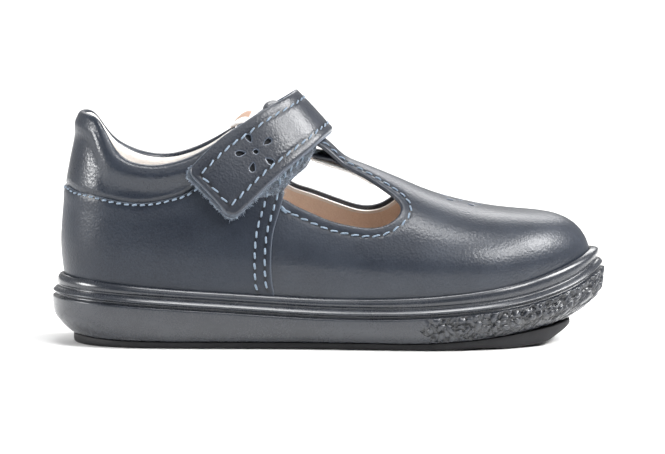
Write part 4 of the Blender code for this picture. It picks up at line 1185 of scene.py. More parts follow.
cut_plain_out = smooth_curve(OUTER_CUT, 0.7)
cut_full_out = smooth_curve(list(OUTER_CUT) + bar_out[:3], 0.7)
cut_full_in = smooth_curve(bar_in[1:] + list(INNER_CUT), 0.7)
k = len(cut_full_out)
d_out = np.interp(np.arange(k) / k, [0, 0.6, 0.75, 1.0], [2.75, 2.75, 2.1, 1.9])
st_cut_out = even(leather, shifted(leather, cut_full_out[4:], -d_out[4:]), 0.8)
d_in = np.interp(np.arange(len(cut_full_in)) / len(cut_full_in), [0, 0.25, 0.4, 1.0], [1.9, 2.1, 2.75, 2.75])
st_cut_in = even(leather, shifted(leather, cut_full_in[:-4], -d_in[:-4]), 0.8)
st_lap = [even(leather, shifted(leather, lap_out[:-10], -d), 0.8) for d in (1.8, 4.7)]
st_lap_in = [even(leather, shifted(leather, lap_in[:-10], d), 0.8) for d in (1.8, 4.7)]
st_seam_out = even(leather, shifted(leather, seam_out[1:-6], -0.6), 0.8)
st_seam_in = even(leather, shifted(leather, seam_in[1:-6], 0.6), 0.8)


def above_lip(line, extra=0.3):
    p = on_chart(line)[0]
    return line[p[:, 2] > crest_z(p[:, 0]) + extra]


st_lap = [above_lip(l) for l in st_lap]
st_lap_in = [above_lip(l) for l in st_lap_in]


def teardrop(centre, toward, length, width, n=16):
    d = np.asarray(toward, float) - centre
    d /= np.linalg.norm(d)
    e = np.array((-d[1], d[0]))
    a = np.linspace(0, 2 * math.pi, n, endpoint=False)
    x = length / 2 * np.cos(a)
    y = width / 2 * np.sin(a) * np.abs(np.sin(a / 2)) ** 0.9 * 1.15
    return centre + x[:, None] * d + y[:, None] * e


def ring(centre, radius, n=12):
    a = np.linspace(0, 2 * math.pi, n, endpoint=False)
    return centre + radius * np.column_stack([np.cos(a), np.sin(a)])


def flower(centre, petals, length=2.7, width=1.75, hole=0.68):
    return [teardrop(np.asarray(p, float), centre, length, width) for p in petals] + [ring(centre, hole)]


vc = np.array((38.0, -0.4))
vamp_flower = flower(vc, [vc + 4.9 * np.array((math.cos(a), math.sin(a)))
                          for a in np.radians((90, 18, 162, -54, -126))])

# ---------------------------------------------------------------------------
# Leather panels and linings
# ---------------------------------------------------------------------------
STEP = 1.1
vamp = panel("vamp_leather", leather, vamp_loop, vamp_top, 1.05, ["vamp"],
             holes=vamp_flower, seams=[st_cut_out, st_cut_in], step=STEP, groove=0.28, round_r=0.6,
             replaces=("upper",),
             relief=lumps(5, 9, 26.0, 0.07))
quarter = panel("quarter_leather", leather, quarter_loop, quarter_top, quarter_thick, ["quarter"],
                seams=st_lap + st_lap_in + [st_seam_out, st_seam_in], step=STEP,
                round_r=0.42, replaces=("upper",), relief=lumps(8, 9, 30.0, 0.08))

lining_out = smooth_curve(list(OUTER_CUT) + [(0.0, -7.6), (-3.2, -7.3)], 1.0)
lining_in = smooth_curve([(-3.2, 6.3), (0.0, 6.6)] + list(INNER_CUT), 1.0)
hole = np.vstack([collar_line(LAT), tab_out[::2], lining_out, lining_in, tab_in[::2],
                  collar_line(MED)[::-1][:-1]])
hole = hole[np.linalg.norm(hole - np.roll(hole, 1, axis=0), axis=1) > 0.25]
hole = even(leather, counter_clockwise(hole), 0.9, True)
tight = np.where(bar_mask(hole) & (hole[:, 0] > -6.0), -0.35, -1.15)
hole = shifted(leather, hole, tight, True)
band = shifted(leather, hole, -1.0, True)
sole_loop = np.vstack([foot_line(LAT, 0.0, 1.0, up=0.8)[:-1], foot_line(MED, 1.0, 0.0, up=0.8)[:-1]])


def lining_top(flat, base):
    h = cubic(BAR_UNDER, 1)(flat[:, 0]) - 0.1
    return np.where(bar_mask(flat), h, -1.12)


def lining_kind(mid):
    return np.where((mid[:, 0] > -24.0) & ~inside(mid, band), 1, 0)


panel("lining_skin", leather, sole_loop, lining_top, 0.75, ["lining", "tan"],
      holes=[hole], step=1.5, soft=False, index=lining_kind, bands=[band])


# ---------------------------------------------------------------------------
# Padded collar
# ---------------------------------------------------------------------------
def make_collar():
    stations = []
    for side, sign in ((LAT, -1), (MED, 1)):
        last = float(np.interp(-26.4, WIDE[side, :, 0], U))
        n = 80
        u = np.linspace(0, last, n)
        line = seam_out if side == LAT else seam_in
        _, su, sp = unchart(line)
        order = np.argsort(su)
        pc, ps = crest_p(side, u), np.interp(u, su[order], sp[order])
        stations.append((side, u, pc, ps))
    rows, mats = [], None
    for side, u, pc, ps in (stations[0], stations[1]):
        part = []
        length = along_u(LEN, np.full(len(u), side), u)
        pts = skin(np.full(len(u), side), u, pc)[0]
        t = np.gradient(pts, axis=0)
        slope = np.abs(t[:, 2]) / (np.linalg.norm(t, axis=1) + 1e-9)
        stretch = 1 / np.sqrt(1 - np.minimum(slope, 0.78) ** 2)
        stretch[0:3] = stretch[3]
        for i in range(len(u)):
            big_s = max((pc[i] - ps[i]) * length[i], 1.2)
            f = stretch[i]
            w = smooth01(big_s / 10.0)
            heel = smooth01((pts[i, 2] - 56.0) / 8.0)
            r = (0.9 + 1.5 * w) * (1 - 0.15 * heel)
            thick = 1.9 + 2.5 * w * (1 - 0.8 * heel)

            def out(s):
                q = s / f
                h = 0.2 + w * (1.0 * np.exp(-((q - 3.4) / 2.9) ** 2) - 0.45 * np.exp(-((q - 8.6) / 2.8) ** 2) * (1 - heel))
                return h - 0.55 * smooth01((s - (big_s - 1.3)) / 1.3)
            s1 = np.linspace(big_s + 2.4, r * f, 24)
            h1 = out(s1)
            th = np.linspace(0, math.pi, 17)[1:-1]
            s2 = (r - r * np.sin(th)) * f
            h2 = out(np.array([r * f]))[0] - thick / 2 * (1 - np.cos(th))
            deep = (3.5 + 7.5 * w) * f
            s3 = np.linspace(r * f, deep, 12)
            g = smooth01((s3 - r * f) / (deep - r * f))
            h3 = (h2[-1] - 0.02) * (1 - g) + (-1.95) * g
            s4 = np.array([deep * 0.98, big_s * 0.7 + deep * 0.3, big_s + 2.3])
            h4 = np.array([-1.2, -1.05, -0.75])
            s = np.concatenate([s1, s2, s3, s4])
            h = np.concatenate([h1, h2, h3, h4])
            p = pc[i] - s / length[i]
            base, n = skin(np.full(len(s), side), np.full(len(s), u[i]), p)
            part.append(base + n * h[:, None])
            if mats is None:
                mats = [0] * (24 + 11) + [1] * (len(s) - 35)
        rows.append(part)
    rows = rows[0][::-1] + rows[1][1:]
    rows = np.array(rows)
    n, m = rows.shape[:2]
    verts = rows.reshape(-1, 3)
    faces, index = [], []
    for i in range(n - 1):
        for j in range(m):
            j2 = (j + 1) % m
            faces.append((i * m + j, i * m + j2, (i + 1) * m + j2, (i + 1) * m + j))
            index.append(mats[j])
    faces.append(tuple(range(m))[::-1])
    faces.append(tuple((n - 1) * m + j for j in range(m)))
    index += [0, 0]
    obj = mesh_object("collar_pad", verts, faces, ["collar", "lining"],
                      ("upper",), index=index)
    fix_normals(obj)
    return obj


def fix_normals(obj):
    import bmesh
    bm = bmesh.new()
    bm.from_mesh(obj.data)
    bmesh.ops.recalc_face_normals(bm, faces=bm.faces)
    bm.to_mesh(obj.data)
    bm.free()


make_collar()


def make_root_pad():
    """Padded lining of the inner tab, which swells up behind the strap."""
    line = smooth_curve([(-27.0, 17.2), (-25.2, 14.8), (-23.3, 12.8), (-21.2, 11.4), (-19.2, 10.6)], 0.6)
    t = np.linspace(0, 1, len(line))
    swell = np.sin(np.pi * np.clip(t, 0.03, 0.97)) ** 0.6
    half = 0.85 * swell ** 0.6
    crest = -2.4 + 6.0 * smooth01(t / 0.62) - 3.6 * smooth01((t - 0.7) / 0.3)
    tall = (crest + 3.6) / 2
    rows = []
    for a in np.linspace(0, 2 * math.pi, 20, endpoint=False):
        ca, sa = math.cos(a), math.sin(a)
        q = shifted(leather, line, half * ca)
        rows.append(on_chart(q, crest - tall + tall * math.copysign(abs(sa) ** 0.8, sa))[0])
    rows = np.array(rows).transpose(1, 0, 2)
    n, m = rows.shape[:2]
    faces, index = [], []
    for i in range(n - 1):
        for j in range(m):
            j2 = (j + 1) % m
            faces.append((i * m + j, i * m + j2, (i + 1) * m + j2, (i + 1) * m + j))
            index.append(1 if 9 <= j <= 10 and 0.22 * n < i < 0.66 * n else 0)
    faces += [tuple(range(m))[::-1], tuple((n - 1) * m + j for j in range(m))]
    # The pad's white lining uses its greyer copy: painted shade.
    obj = mesh_object("inner_tab_pad", rows.reshape(-1, 3), faces, ["tab_lining_painted_shade", "tan_edge"],
                      index=index + [0, 0])
    fix_normals(obj)


make_root_pad()


# ---------------------------------------------------------------------------
# Folded end of the T-bar
# ---------------------------------------------------------------------------
def make_fold():
    sec = smooth_curve(BAR_FOLD, 0.45, closed=True)
    sec = np.vstack([sec])
    mid = sec.copy()
    rows = []
    y0, y1, r = -7.3, 6.3, 0.35
    ys, shrink = [], []
    for a in np.radians((0, 22, 45, 67, 90)):
        ys.append(y0 + r * (1 - math.sin(a)))
        shrink.append(r * (1 - math.cos(a)))
    ys = [y0 + r * (1 - math.sin(a)) for a in np.radians((90, 60, 30, 0))]
    shrink = [r * (1 - math.cos(a)) for a in np.radians((90, 60, 30, 0))]
    inner = list(np.linspace(y0 + r, y1 - r, 12)[1:-1])
    yy = ys + inner + [y0 + y1 - y for y in ys[::-1]]
    sh = shrink + [0.0] * len(inner) + shrink[::-1]
    t = np.roll(sec, -1, axis=0) - np.roll(sec, 1, axis=0)
    t /= np.linalg.norm(t, axis=1)[:, None]
    nrm = np.column_stack([t[:, 1], -t[:, 0]])
    area = (sec[:, 0] * np.roll(sec[:, 1], -1) - np.roll(sec[:, 0], -1) * sec[:, 1]).sum()
    if area < 0:
        nrm = -nrm
    for y, s in zip(yy, sh):
        q = sec - nrm * s
        rows.append(on_chart(np.column_stack([q[:, 0], np.full(len(q), y)]), q[:, 1])[0])
    rows = np.array(rows)
    n, m = rows.shape[:2]
    faces = [(i * m + j, i * m + (j + 1) % m, (i + 1) * m + (j + 1) % m, (i + 1) * m + j)
             for i in range(n - 1) for j in range(m)]
    faces += [tuple(range(m))[::-1], tuple((n - 1) * m + j for j in range(m))]
    obj = mesh_object("t_bar_fold", rows.reshape(-1, 3), faces, ["vamp"], ("upper",),
                      attrs={"seam_groove_shade": np.zeros(n * m)})
    fix_normals(obj)


make_fold()


# ---------------------------------------------------------------------------
# Strap and tapes
# ---------------------------------------------------------------------------
def rounded(a0, a1, w0, w1, r0, r1, n=6):
    pts = []
    for cx, cy, r, q in ((a1, w0, r1, -90), (a1, w1, r1, 0), (a0, w1, r0, 90), (a0, w0, r0, 180)):
        sx, sy = (-1 if cx == a1 else 1), (1 if cy == w0 else -1)
        for a in np.radians(np.linspace(q, q + 90, n)):
            pts.append((cx + sx * r + r * math.cos(a), cy + sy * r + r * math.sin(a)))
    return np.array(pts)


def strap_top(flat, base):
    v = flat[:, 1] / WIDTH * 2 - 1
    return 1.78 + 0.22 * (1 - v * v)


ga, gw = np.meshgrid(np.linspace(2, 34, 129), np.linspace(1, 17, 65), indexing="ij")
_g = np.column_stack([ga.ravel(), gw.ravel()])
_q = strap_at(_g, 1.9)[0]
_gx, _gv = _q[:, 0], _q[:, 2] * C6 + _q[:, 1] * S6


def strap_seen(x, v):
    return _g[((_gx - x) ** 2 + (_gv - v) ** 2).argmin()]


fc = strap_seen(*FLOWER_SEEN[0])
strap_flower = flower(fc, [strap_seen(*q) for q in FLOWER_SEEN[1]], 2.7, 1.75, 0.7)
L = STRAP_LEN
border = np.vstack([[(L - 2.0, 3.0)], [(3.0, 3.0), (2.0, 3.6)], [(2.0, 14.0), (2.6, 14.6)], [(L - 2.0, 14.6)]])
seg_a = even(strap_at, np.array([(L - 2.2, 3.0), (2.2, 3.0)]), 0.8)
seg_b = even(strap_at, np.array([(2.1, 3.4), (2.1, 14.2)]), 0.8)
seg_c = even(strap_at, np.array([(2.2, 14.6), (L - 2.2, 14.6)]), 0.8)
seg_d = even(strap_at, np.array([(L - 2.2, 13.8), (L - 2.2, 3.8)]), 0.8)
outline = even(strap_at, rounded(0, L, 0.0, WIDTH, 2.6, 0.8), 0.8, True)
panel("strap_leather", strap_at, outline, strap_top, 0.95, ["strap"],
      holes=strap_flower, seams=[seg_a, seg_b, seg_c, seg_d], step=0.9, round_r=0.62, edge_step=0.7,
      around=(0.22, 0.5), groove=0.22,
      replaces=("strap",), relief=lumps(11, 8, 14.0, 0.05))
back_loop = shifted(strap_at, outline, np.where(outline[:, 1] < 4.0, -0.2, 0.15), True)
panel("strap_backing", strap_at, back_loop, 0.86, 0.78, ["strap_base"],
      step=2.2, round_r=0.2, replaces=("strap",))

hook_loop = rounded(-0.5, 25.0, -0.3, WIDTH - 0.1, 2.4, 1.0)
hook_loop[:, 0] -= 0.5 * smooth01((hook_loop[:, 1] - 13.0) / 4.0) * (hook_loop[:, 0] < 4.0)
hook_loop = even(strap_at, hook_loop, 0.8, True)
panel("hook_tape_strip", strap_at, hook_loop, 0.04, 0.95, ["tape"], step=1.4,
      round_r=0.3, replaces=("hook_tape",))
LOOP_TAPE = (
    (-8.6, -17.5, -4.6), (-12.0, -20.0, -5.5), (-17.0, -23.2, -7.4),
    (-22.3, -26.6, -10.4), (-27.0, -29.6, -12.6), (-31.0, -32.0, -15.0),
    (-36.0, -34.6, -21.2))
_ty = np.linspace(-8.6, -36.0, 30)
_rows = LOOP_TAPE[::-1]
_tr, _tf = cubic(_rows, 1)(_ty), cubic(_rows, 2)(_ty)
tape_loop = np.vstack([np.column_stack([_tf + 0.5, _ty]), np.column_stack([_tr, _ty])[::-1]])
tape_loop = even(leather, counter_clockwise(tape_loop), 0.9, True)
panel("loop_tape_strip", leather, tape_loop, 1.0, 0.78, ["tape"], step=0.7,
      round_r=0.3, replaces=("loop_tape",), relief=lumps(31, 7, 2.6, 0.14))

rng = np.random.default_rng(21)
# fibres round the free end of the strap
_e = even(strap_at, hook_loop, 0.045, True)
_e = _e[(_e[:, 0] < 21.0)]
_keep = rng.uniform(size=len(_e)) < np.where(_e[:, 0] < 2.6, 1.0, np.where(_e[:, 1] < 3, 0.7, 0.0))
_e = _e[_keep]
_p, _n = strap_at(_e, rng.uniform(-0.75, 0.0, len(_e)))
_c = strap_at(np.column_stack([np.clip(_e[:, 0], 3.0, 22.0), np.clip(_e[:, 1], 3.0, 15.0)]), -0.4)[0]
_d = _p - _c
_d /= np.linalg.norm(_d, axis=1)[:, None]
_d = _d + rng.normal(size=_d.shape) * 0.5 + _n * rng.uniform(-0.1, 0.5, (len(_d), 1))
fuzz("hook_tape_fibres", _p - _d * 0.05, _d, 0.62, 0.05, ["fibre"], 3, curl=0.45)
# looped fibres on the tab
_m = 2600
_gy = rng.uniform(-34.0, -8.8, _m)
_gr, _gf = cubic(_rows, 1)(_gy), cubic(_rows, 2)(_gy)
_gg = np.column_stack([_gf + 0.5 - (_gf - _gr) * rng.uniform(0.0, 1.0, _m) ** 1.6, _gy])
_tuft = _gg[rng.integers(0, 260, len(_gg))]
_near = _tuft + rng.normal(size=_gg.shape) * 0.3
_gg = np.where((rng.uniform(size=len(_gg)) < 0.6)[:, None], _near, _gg)
_p, _n = on_chart(_gg, 0.95)
_d = _n * 0.6 + rng.normal(size=_n.shape) * 0.7
fuzz("loop_tape_fibres", _p, _d, 0.75, 0.06, ["fibre_dark"], 4, curl=0.9)

# ---------------------------------------------------------------------------
# Stitches
# ---------------------------------------------------------------------------
def strap_row(flat, base):
    return strap_top(flat, base) - 0.05


for seg in (seg_a, seg_b, seg_c, seg_d):
    stitch_line(strap_at, seg, strap_row, pitch=3.05, length=2.6, radius=0.25, slant=14)
stitch_line(leather, st_cut_out, lambda f, b: vamp_top(f, b) - 0.05, pitch=2.95, length=2.5, radius=0.26, slant=11)
stitch_line(leather, st_cut_in, lambda f, b: vamp_top(f, b) - 0.05, pitch=2.95, length=2.5, radius=0.26, slant=11)
for line in st_lap + st_lap_in:
    stitch_line(leather, line, lambda f, b: quarter_top(f, b) - 0.05, pitch=2.9, length=2.3)
for line in (st_seam_out, st_seam_in):
    stitch_line(leather, line, lambda f, b: quarter_top(f, b) - 0.05, pitch=2.25, length=1.75, radius=0.25)
_edge = np.column_stack([_tf, _ty])
for d, sl in ((1.3, 28.0), (2.9, -24.0)):
    row = shifted(leather, _edge, -d)
    stitch_line(leather, even(leather, row[2:-8], 0.8), 1.35, pitch=2.5, length=2.3, radius=0.29, slant=sl)
_b = seen(LAT, [(-12.2, 37.0)])
_bp, _bn = on_chart(_b, 0.05)
_b2 = on_chart(st_cut_out[:3])[0]
_t = _b2[2] - _b2[0]
_t /= np.linalg.norm(_t)
for _i, (_o, _h) in enumerate(((-1.2, 0.35), (-0.2, -0.1), (0.7, 0.25), (-0.7, 0.5))):
    THREAD.append((_bp[0] + _t * _o + np.cross(_bn[0], _t) * _h + _bn[0] * 0.1 * _i, _t, _bn[0], 2.1, 0.27,
                   (14.0, -10.0, 6.0, -22.0)[_i]))
make_thread("stitching")


# ---------------------------------------------------------------------------
# Rubber cup sole with the moulded toe, tread pad, inner sole
# ---------------------------------------------------------------------------
def sole_stations(side):
    """Places along a side, close together where the toe is patterned."""
    x = along_u(RIDGE, np.full(2001, side), np.linspace(0, 1, 2001))[:, 0]
    fine = 0.3
    gap = np.where(x < 24.0, 1.15, fine)
    dens = 1.0 / gap
    c = np.concatenate([[0], np.cumsum(0.5 * (dens[1:] + dens[:-1]))]) * SIDE_LEN[side] / 2000
    n = int(c[-1]) + 1
    return np.interp(np.linspace(0, c[-1], n), c, np.linspace(0, 1, 2001))


SU = (sole_stations(LAT), sole_stations(MED))


def ridge_row(out, height):
    rows = []
    for s in (LAT, MED):
        u = SU[s]
        p, d = along_u(RIDGE, np.full(len(u), s), u), along_u(OUT, np.full(len(u), s), u)
        d /= np.linalg.norm(d, axis=1)[:, None]
        x = p[:, 0]
        rows.append(np.column_stack([p + d * np.broadcast_to(out(x), x.shape)[:, None], height(x)]))
    return rows


def face_row(height, off, us=None):
    rows = []
    for s in (LAT, MED):
        u = (us or SU)[s]
        n = len(u)
        x = along_u(WIDE, np.full(n, s), u)[:, 0]
        z = height(x)
        coarse = np.linspace(0, 1, 61)
        xc = along_u(WIDE, np.full(61, s), coarse)[:, 0]
        p = np.interp(u, coarse, rise(s, coarse, height(xc)))
        pt, nrm = skin(np.full(n, s), u, p)
        flat = nrm[:, :2] / np.linalg.norm(nrm[:, :2], axis=1)[:, None]
        pt[:, :2] += flat * off
        pt[:, 2] = z
        rows.append(pt)
    return rows


def loop_of(rows):
    """One closed ring from the rows of both sides."""
    return np.vstack([rows[LAT], rows[MED][::-1][1:-1]])


WALL_UP = np.linspace(0, 1, 30)
PROFILE = ((0.44, -2.5), (0.43, -2.1), (0.38, -1.92), (0.2, -1.84), (-0.3, -1.76), (-0.55, -1.6),
           (-0.68, -1.38), (-0.7, -1.12), (-0.6, -0.9), (-0.34, -0.78), (-0.02, -0.72), (0.2, -0.62),
           (0.3, -0.46), (0.27, -0.28), (0.1, -0.08), (-0.12, 0.15), (-0.35, 0.38), (-0.62, 0.58), (-0.86, 0.68),
           (-1.1, 0.74), (-1.26, 0.98), (-1.28, 1.2), (-1.18, 1.42), (-1.02, 1.62))


def make_cup():
    smooth_flare = cubic([(a[1], a[0]) for a in FLARE], 1)
    rings, walls = [], []
    for v in WALL_UP:
        f = float(smooth_flare(v))
        rings.append(loop_of(ridge_row(lambda x, f=f: -edge_in(x) + (0.42 + edge_in(x)) * min(f, 1.0),
                                       lambda x, v=v: edge_z(x) + (ridge_z(x) - 3.2 - edge_z(x)) * v)))
        walls.append(v)
    # rounded lower edge
    first = rings[0].copy()
    nwall = len(rings)
    for d, dz in PROFILE:
        rings.append(loop_of(ridge_row(lambda x, d=d: np.full(x.shape, d), lambda x, dz=dz: ridge_z(x) + dz)))
    a = loop_of(ridge_row(lambda x: np.full(x.shape, -0.92), lambda x: ridge_z(x) + 0.42 * roll_h(x)))
    a2 = loop_of(ridge_row(lambda x: np.full(x.shape, -0.95), lambda x: ridge_z(x) + 0.52 * roll_h(x)))
    b = loop_of(face_row(crest_z, CLEAR + 0.2))
    rings.append(a)
    for t in np.radians((12, 24, 36, 48, 60, 72, 82, 90)):
        ring = a2.copy()
        ring[:, :2] = a2[:, :2] + (b[:, :2] - a2[:, :2]) * (1 - math.cos(t))
        ring[:, 2] = a2[:, 2] + (b[:, 2] - a2[:, 2]) * math.sin(t)
        rings.append(ring)
    rings.append(loop_of(face_row(lambda x: crest_z(x) - 0.5, CLEAR - 0.1)))
    rings.append(loop_of(face_row(lambda x: crest_z(x) - 1.6, CLEAR - 0.15)))
    rings.append(loop_of(face_row(lambda x: floor_z(x) + 0.3, CLEAR - 0.15)))
    rings.append(loop_of(face_row(lambda x: floor_z(x), CLEAR - 0.4)))
    rings = np.array(rings)
    # relief of the toe
    n = rings.shape[1]
    half = len(SU[LAT])
    mid = rings[nwall // 2]
    arc = np.concatenate([[0], np.cumsum(np.linalg.norm(np.diff(mid[:, :2], axis=0), axis=1))])
    outward = np.vstack([along_u(OUT, np.full(len(SU[LAT]), LAT), SU[LAT]),
                         along_u(OUT, np.full(len(SU[MED]), MED), SU[MED])[::-1][1:-1]])
    outward /= np.linalg.norm(outward, axis=1)[:, None]
    rng = np.random.default_rng(77)
    cell = 2.55
    cols, rws = int(arc[-1] / cell) + 2, 7
    gi, gj = np.meshgrid(np.arange(cols), np.arange(rws), indexing="ij")
    seeds = np.column_stack([(gi.ravel() + rng.uniform(0.05, 0.95, gi.size)) * cell,
                             (gj.ravel() - 0.5 + rng.uniform(0.05, 0.95, gi.size)) * 2.1])
    tilt = rng.normal(size=(len(seeds), 2)) * 0.36
    level = rng.uniform(-0.12, 0.22, len(seeds))
    turn = rng.uniform(0.12, 0.88, len(seeds)) * math.pi
    stretch = rng.uniform(1.9, 3.3, len(seeds))
    # Painted shade in the grooves between the chips, for the rubber's colour.
    pit_shade = np.zeros(rings.shape[:2])
    for r in range(nwall + 4):
        ring = rings[r]
        z = ring[:, 2] - edge_z(ring[:, 0])
        x = ring[:, 0]
        left = ridge_z(x) - 1.75 - ring[:, 2]
        on = smooth01((x - 26.8 - 1.5 * np.sin(z * 1.3)) / 2.0)
        on = on * smooth01(z / 0.5) * smooth01(left / 0.45)
        idx = np.where(on > 0.001)[0]
        if len(idx) == 0:
            continue
        q = np.column_stack([arc[idx], z[idx]])
        h = np.zeros(len(idx))
        for a0 in range(0, len(idx), 500):
            d = q[a0:a0 + 500, None] - seeds[None]
            ca, sa = np.cos(turn), np.sin(turn)
            dx, dy = d[..., 0] * ca + d[..., 1] * sa, -d[..., 0] * sa + d[..., 1] * ca
            dist = np.sqrt((dx / stretch) ** 2 + (dy * 1.0) ** 2)
            order = np.argpartition(dist, 2, axis=1)[:, :2]
            rr = np.arange(len(d))
            d1, d2 = dist[rr, order[:, 0]], dist[rr, order[:, 1]]
            near = np.where(d1 < d2, order[:, 0], order[:, 1])
            g = np.abs(d2 - d1)
            dd = d[rr, near]
            plane = (dd * tilt[near]).sum(1) + level[near]
            h[a0:a0 + 500] = np.clip(plane, -0.5, 0.45) + 0.1 - 0.85 * np.exp(-(g / 0.3) ** 2)
        rings[r][idx, :2] += outward[idx] * (h * on[idx] * 0.78)[:, None]
        rings[r][idx, 2] += 0.15 * h * on[idx]
        pit_shade[r][idx] = np.clip(-h * 1.2, 0, 0.7) * on[idx]
    m = len(rings)
    verts = rings.reshape(-1, 3)
    faces = [(r * n + i, r * n + (i + 1) % n, (r + 1) * n + (i + 1) % n, (r + 1) * n + i)
             for r in range(m - 1) for i in range(n)]
    # close both ends across the shoe
    extra = list(verts)

    def cap(ring_start, ring):
        rows = [[ring_start + i for i in range(half)]]
        other = [ring_start] + [ring_start + n - k for k in range(1, n - half + 1)] + [ring_start + half - 1]
        k_other = len(other)
        a = ring[:half]
        b = ring[[o - ring_start for o in other]]
        tb = np.linspace(0, 1, k_other)
        ta = np.linspace(0, 1, half)
        bb = np.column_stack([np.interp(ta, tb, b[:, c]) for c in range(3)])
        prev = rows[0]
        for t in (0.25, 0.5, 0.75):
            base = len(extra)
            mid_row = a * (1 - t) + bb * t
            extra.extend(mid_row[1:-1])
            row = [ring_start] + [base + i for i in range(half - 2)] + [ring_start + half - 1]
            strip(prev, row)
            prev = row
        zip_rows(prev, other)

    def strip(a, b):
        faces.append((a[0], a[1], b[1]))
        for i in range(1, len(a) - 2):
            faces.append((a[i], a[i + 1], b[i + 1], b[i]))
        faces.append((a[-2], a[-1], b[-2]))

    def zip_rows(a, b):
        """Triangles between two rows of unlike counts that share their ends."""
        i = j = 0
        while i < len(a) - 1 or j < len(b) - 1:
            step_a = j == len(b) - 1 or (i < len(a) - 1 and (i + 1) / (len(a) - 1) <= (j + 1) / (len(b) - 1))
            if step_a:
                if len({a[i], a[i + 1], b[j]}) == 3:
                    faces.append((a[i], a[i + 1], b[j]))
                i += 1
            else:
                if len({a[i], b[j], b[j + 1]}) == 3:
                    faces.append((a[i], b[j + 1], b[j]))
                j += 1
    cap(0, rings[0])
    cap((m - 1) * n, rings[-1])
    # Painted shade per vertex, for the rubber's colour.
    dark = np.zeros(len(extra))
    dark[:pit_shade.size] = pit_shade.ravel()
    obj = mesh_object("cup_sole_rubber", np.array(extra), faces, ["rubber"], ("cup_sole",),
                      attrs={"pit_shade": dark})
    fix_normals(obj)
    return obj


make_cup()


def plain_us(n):
    return (np.linspace(0, 1, n), np.linspace(0, 1, n))


def layered(name, rings, across, bulge, mats, replaces):
    """Closed body from rings of both sides, closed by fine strips across."""
    n = len(rings[0][LAT])
    verts, faces, ids = [], [], []
    for ring in rings:
        s = len(verts)
        verts.extend(ring[LAT])
        verts.extend(ring[MED][1:-1])
        lat = [s + i for i in range(n)]
        ids.append((lat, [lat[0]] + [s + n + i for i in range(n - 2)] + [lat[-1]]))
    for (la, ma), (lb, mb) in zip(ids, ids[1:]):
        for a, b in ((la, lb), (ma, mb)):
            faces.extend((a[i], a[i + 1], b[i + 1], b[i]) for i in range(n - 1))
    for end, (lat, med), ring in ((0, ids[0], rings[0]), (1, ids[-1], rings[-1])):
        rows = [lat]
        for k in range(1, across):
            t = k / across
            p = np.asarray(ring[LAT]) * (1 - t) + np.asarray(ring[MED]) * t
            p = bulge(end, p, t, np.asarray(ring[LAT]), np.asarray(ring[MED]))
            s = len(verts)
            verts.extend(p[1:-1])
            rows.append([lat[0]] + [s + i for i in range(n - 2)] + [lat[-1]])
        rows.append(med)
        for a, b in zip(rows, rows[1:]):
            faces.append((a[0], a[1], b[1]))
            faces.extend((a[i], a[i + 1], b[i + 1], b[i]) for i in range(1, n - 2))
            faces.append((a[n - 2], a[n - 1], b[n - 2]))
    obj = mesh_object(name, verts, faces, mats, replaces, sharp=50)
    fix_normals(obj)
    return obj


def pad_low(x):
    low = pad_z(x) - 1.15 * smooth01((x - 42.0) / 18.0) - 0.6 * smooth01((x - 62.0) / 6.0)
    return np.where(x < 30.0, 0.0, np.maximum(0.0, low))


def pad_rows(out, height, n):
    rows = []
    for s in (LAT, MED):
        u = np.linspace(0, 1, n)
        p, d = along_u(RIDGE, np.full(n, s), u), along_u(OUT, np.full(n, s), u)
        d /= np.linalg.norm(d, axis=1)[:, None]
        x = p[:, 0]
        rows.append(np.column_stack([p - d * (edge_in(x) + out(x))[:, None], height(x)]))
    return rows


def make_tread():
    n = 240
    top = lambda x: edge_z(x) - 0.15 - 0.3 * np.clip((x - 40.0) / 20.0, 0, 1)
    front = lambda x: 1.15 * smooth01((x - 58.0) / 9.0)
    rings = [pad_rows(lambda x: 0.95 - front(x), top, n), pad_rows(lambda x: 0.5 - front(x), lambda x: top(x) - 0.2, n)]
    for t in (0.3, 0.6):
        rings.append(pad_rows(lambda x: 0.45 - front(x), lambda x, t=t: pad_low(x) * t + top(x) * (1 - t), n))
    rings.append(pad_rows(lambda x: 0.6 - front(x), lambda x: pad_low(x) + 0.45, n))
    rings.append(pad_rows(lambda x: 0.9 - front(x), lambda x: pad_low(x) + 0.13, n))
    rings.append(pad_rows(lambda x: 1.4 - front(x), lambda x: pad_low(x), n))

    def bulge(end, p, t, a, b):
        if end == 0:
            return p
        x, y = p[:, 0], p[:, 1]
        width = np.linalg.norm(a[:, :2] - b[:, :2], axis=1)
        edge = np.minimum(t, 1 - t) * width
        depth = np.minimum(1.0, 0.5 * (edge_z(x) - pad_low(x)))
        wave = np.sin(x * 2 * math.pi / 6.2 + 1.1 * np.sin(y * 2 * math.pi / 17.0))
        g = smooth01((wave - 0.35) / 0.3) * smooth01((edge - 2.6) / 0.8) * smooth01((x + 70.5) / 1.0) \
            * smooth01((66.0 - x) / 1.0)
        p[:, 2] += depth * g
        return p
    layered("tread_pad", rings, 44, bulge, ["tread"], ("outsole",))


make_tread()


def make_sock():
    n = 120
    us = plain_us(n)

    def row(up, off):
        rows = face_row(lambda x: floor_z(x) + 1.5, off, us)
        for s in (LAT, MED):
            x = along_u(WIDE, np.full(n, s), us[s])[:, 0]
            rows[s][:, 2] = floor_z(x) + CLEAR + up
        return rows
    rings = [row(0.0, -(WALL + 0.9)), row(0.4, -(WALL + 0.4)), row(1.6, -(WALL + 0.3)),
             row(2.3, -(WALL + 0.4)), row(2.75, -(WALL + 0.75)), row(2.9, -(WALL + 1.4))]

    def bulge(end, p, t, a, b):
        if end == 1:
            dish = 1 - (2 * t - 1) ** 2
            p[:, 2] -= 0.45 * dish * smooth01((p[:, 0] + 74) / 20)
        return p
    layered("inner_sole", rings, 18, bulge, ["sock"], ("insole",))


make_sock()

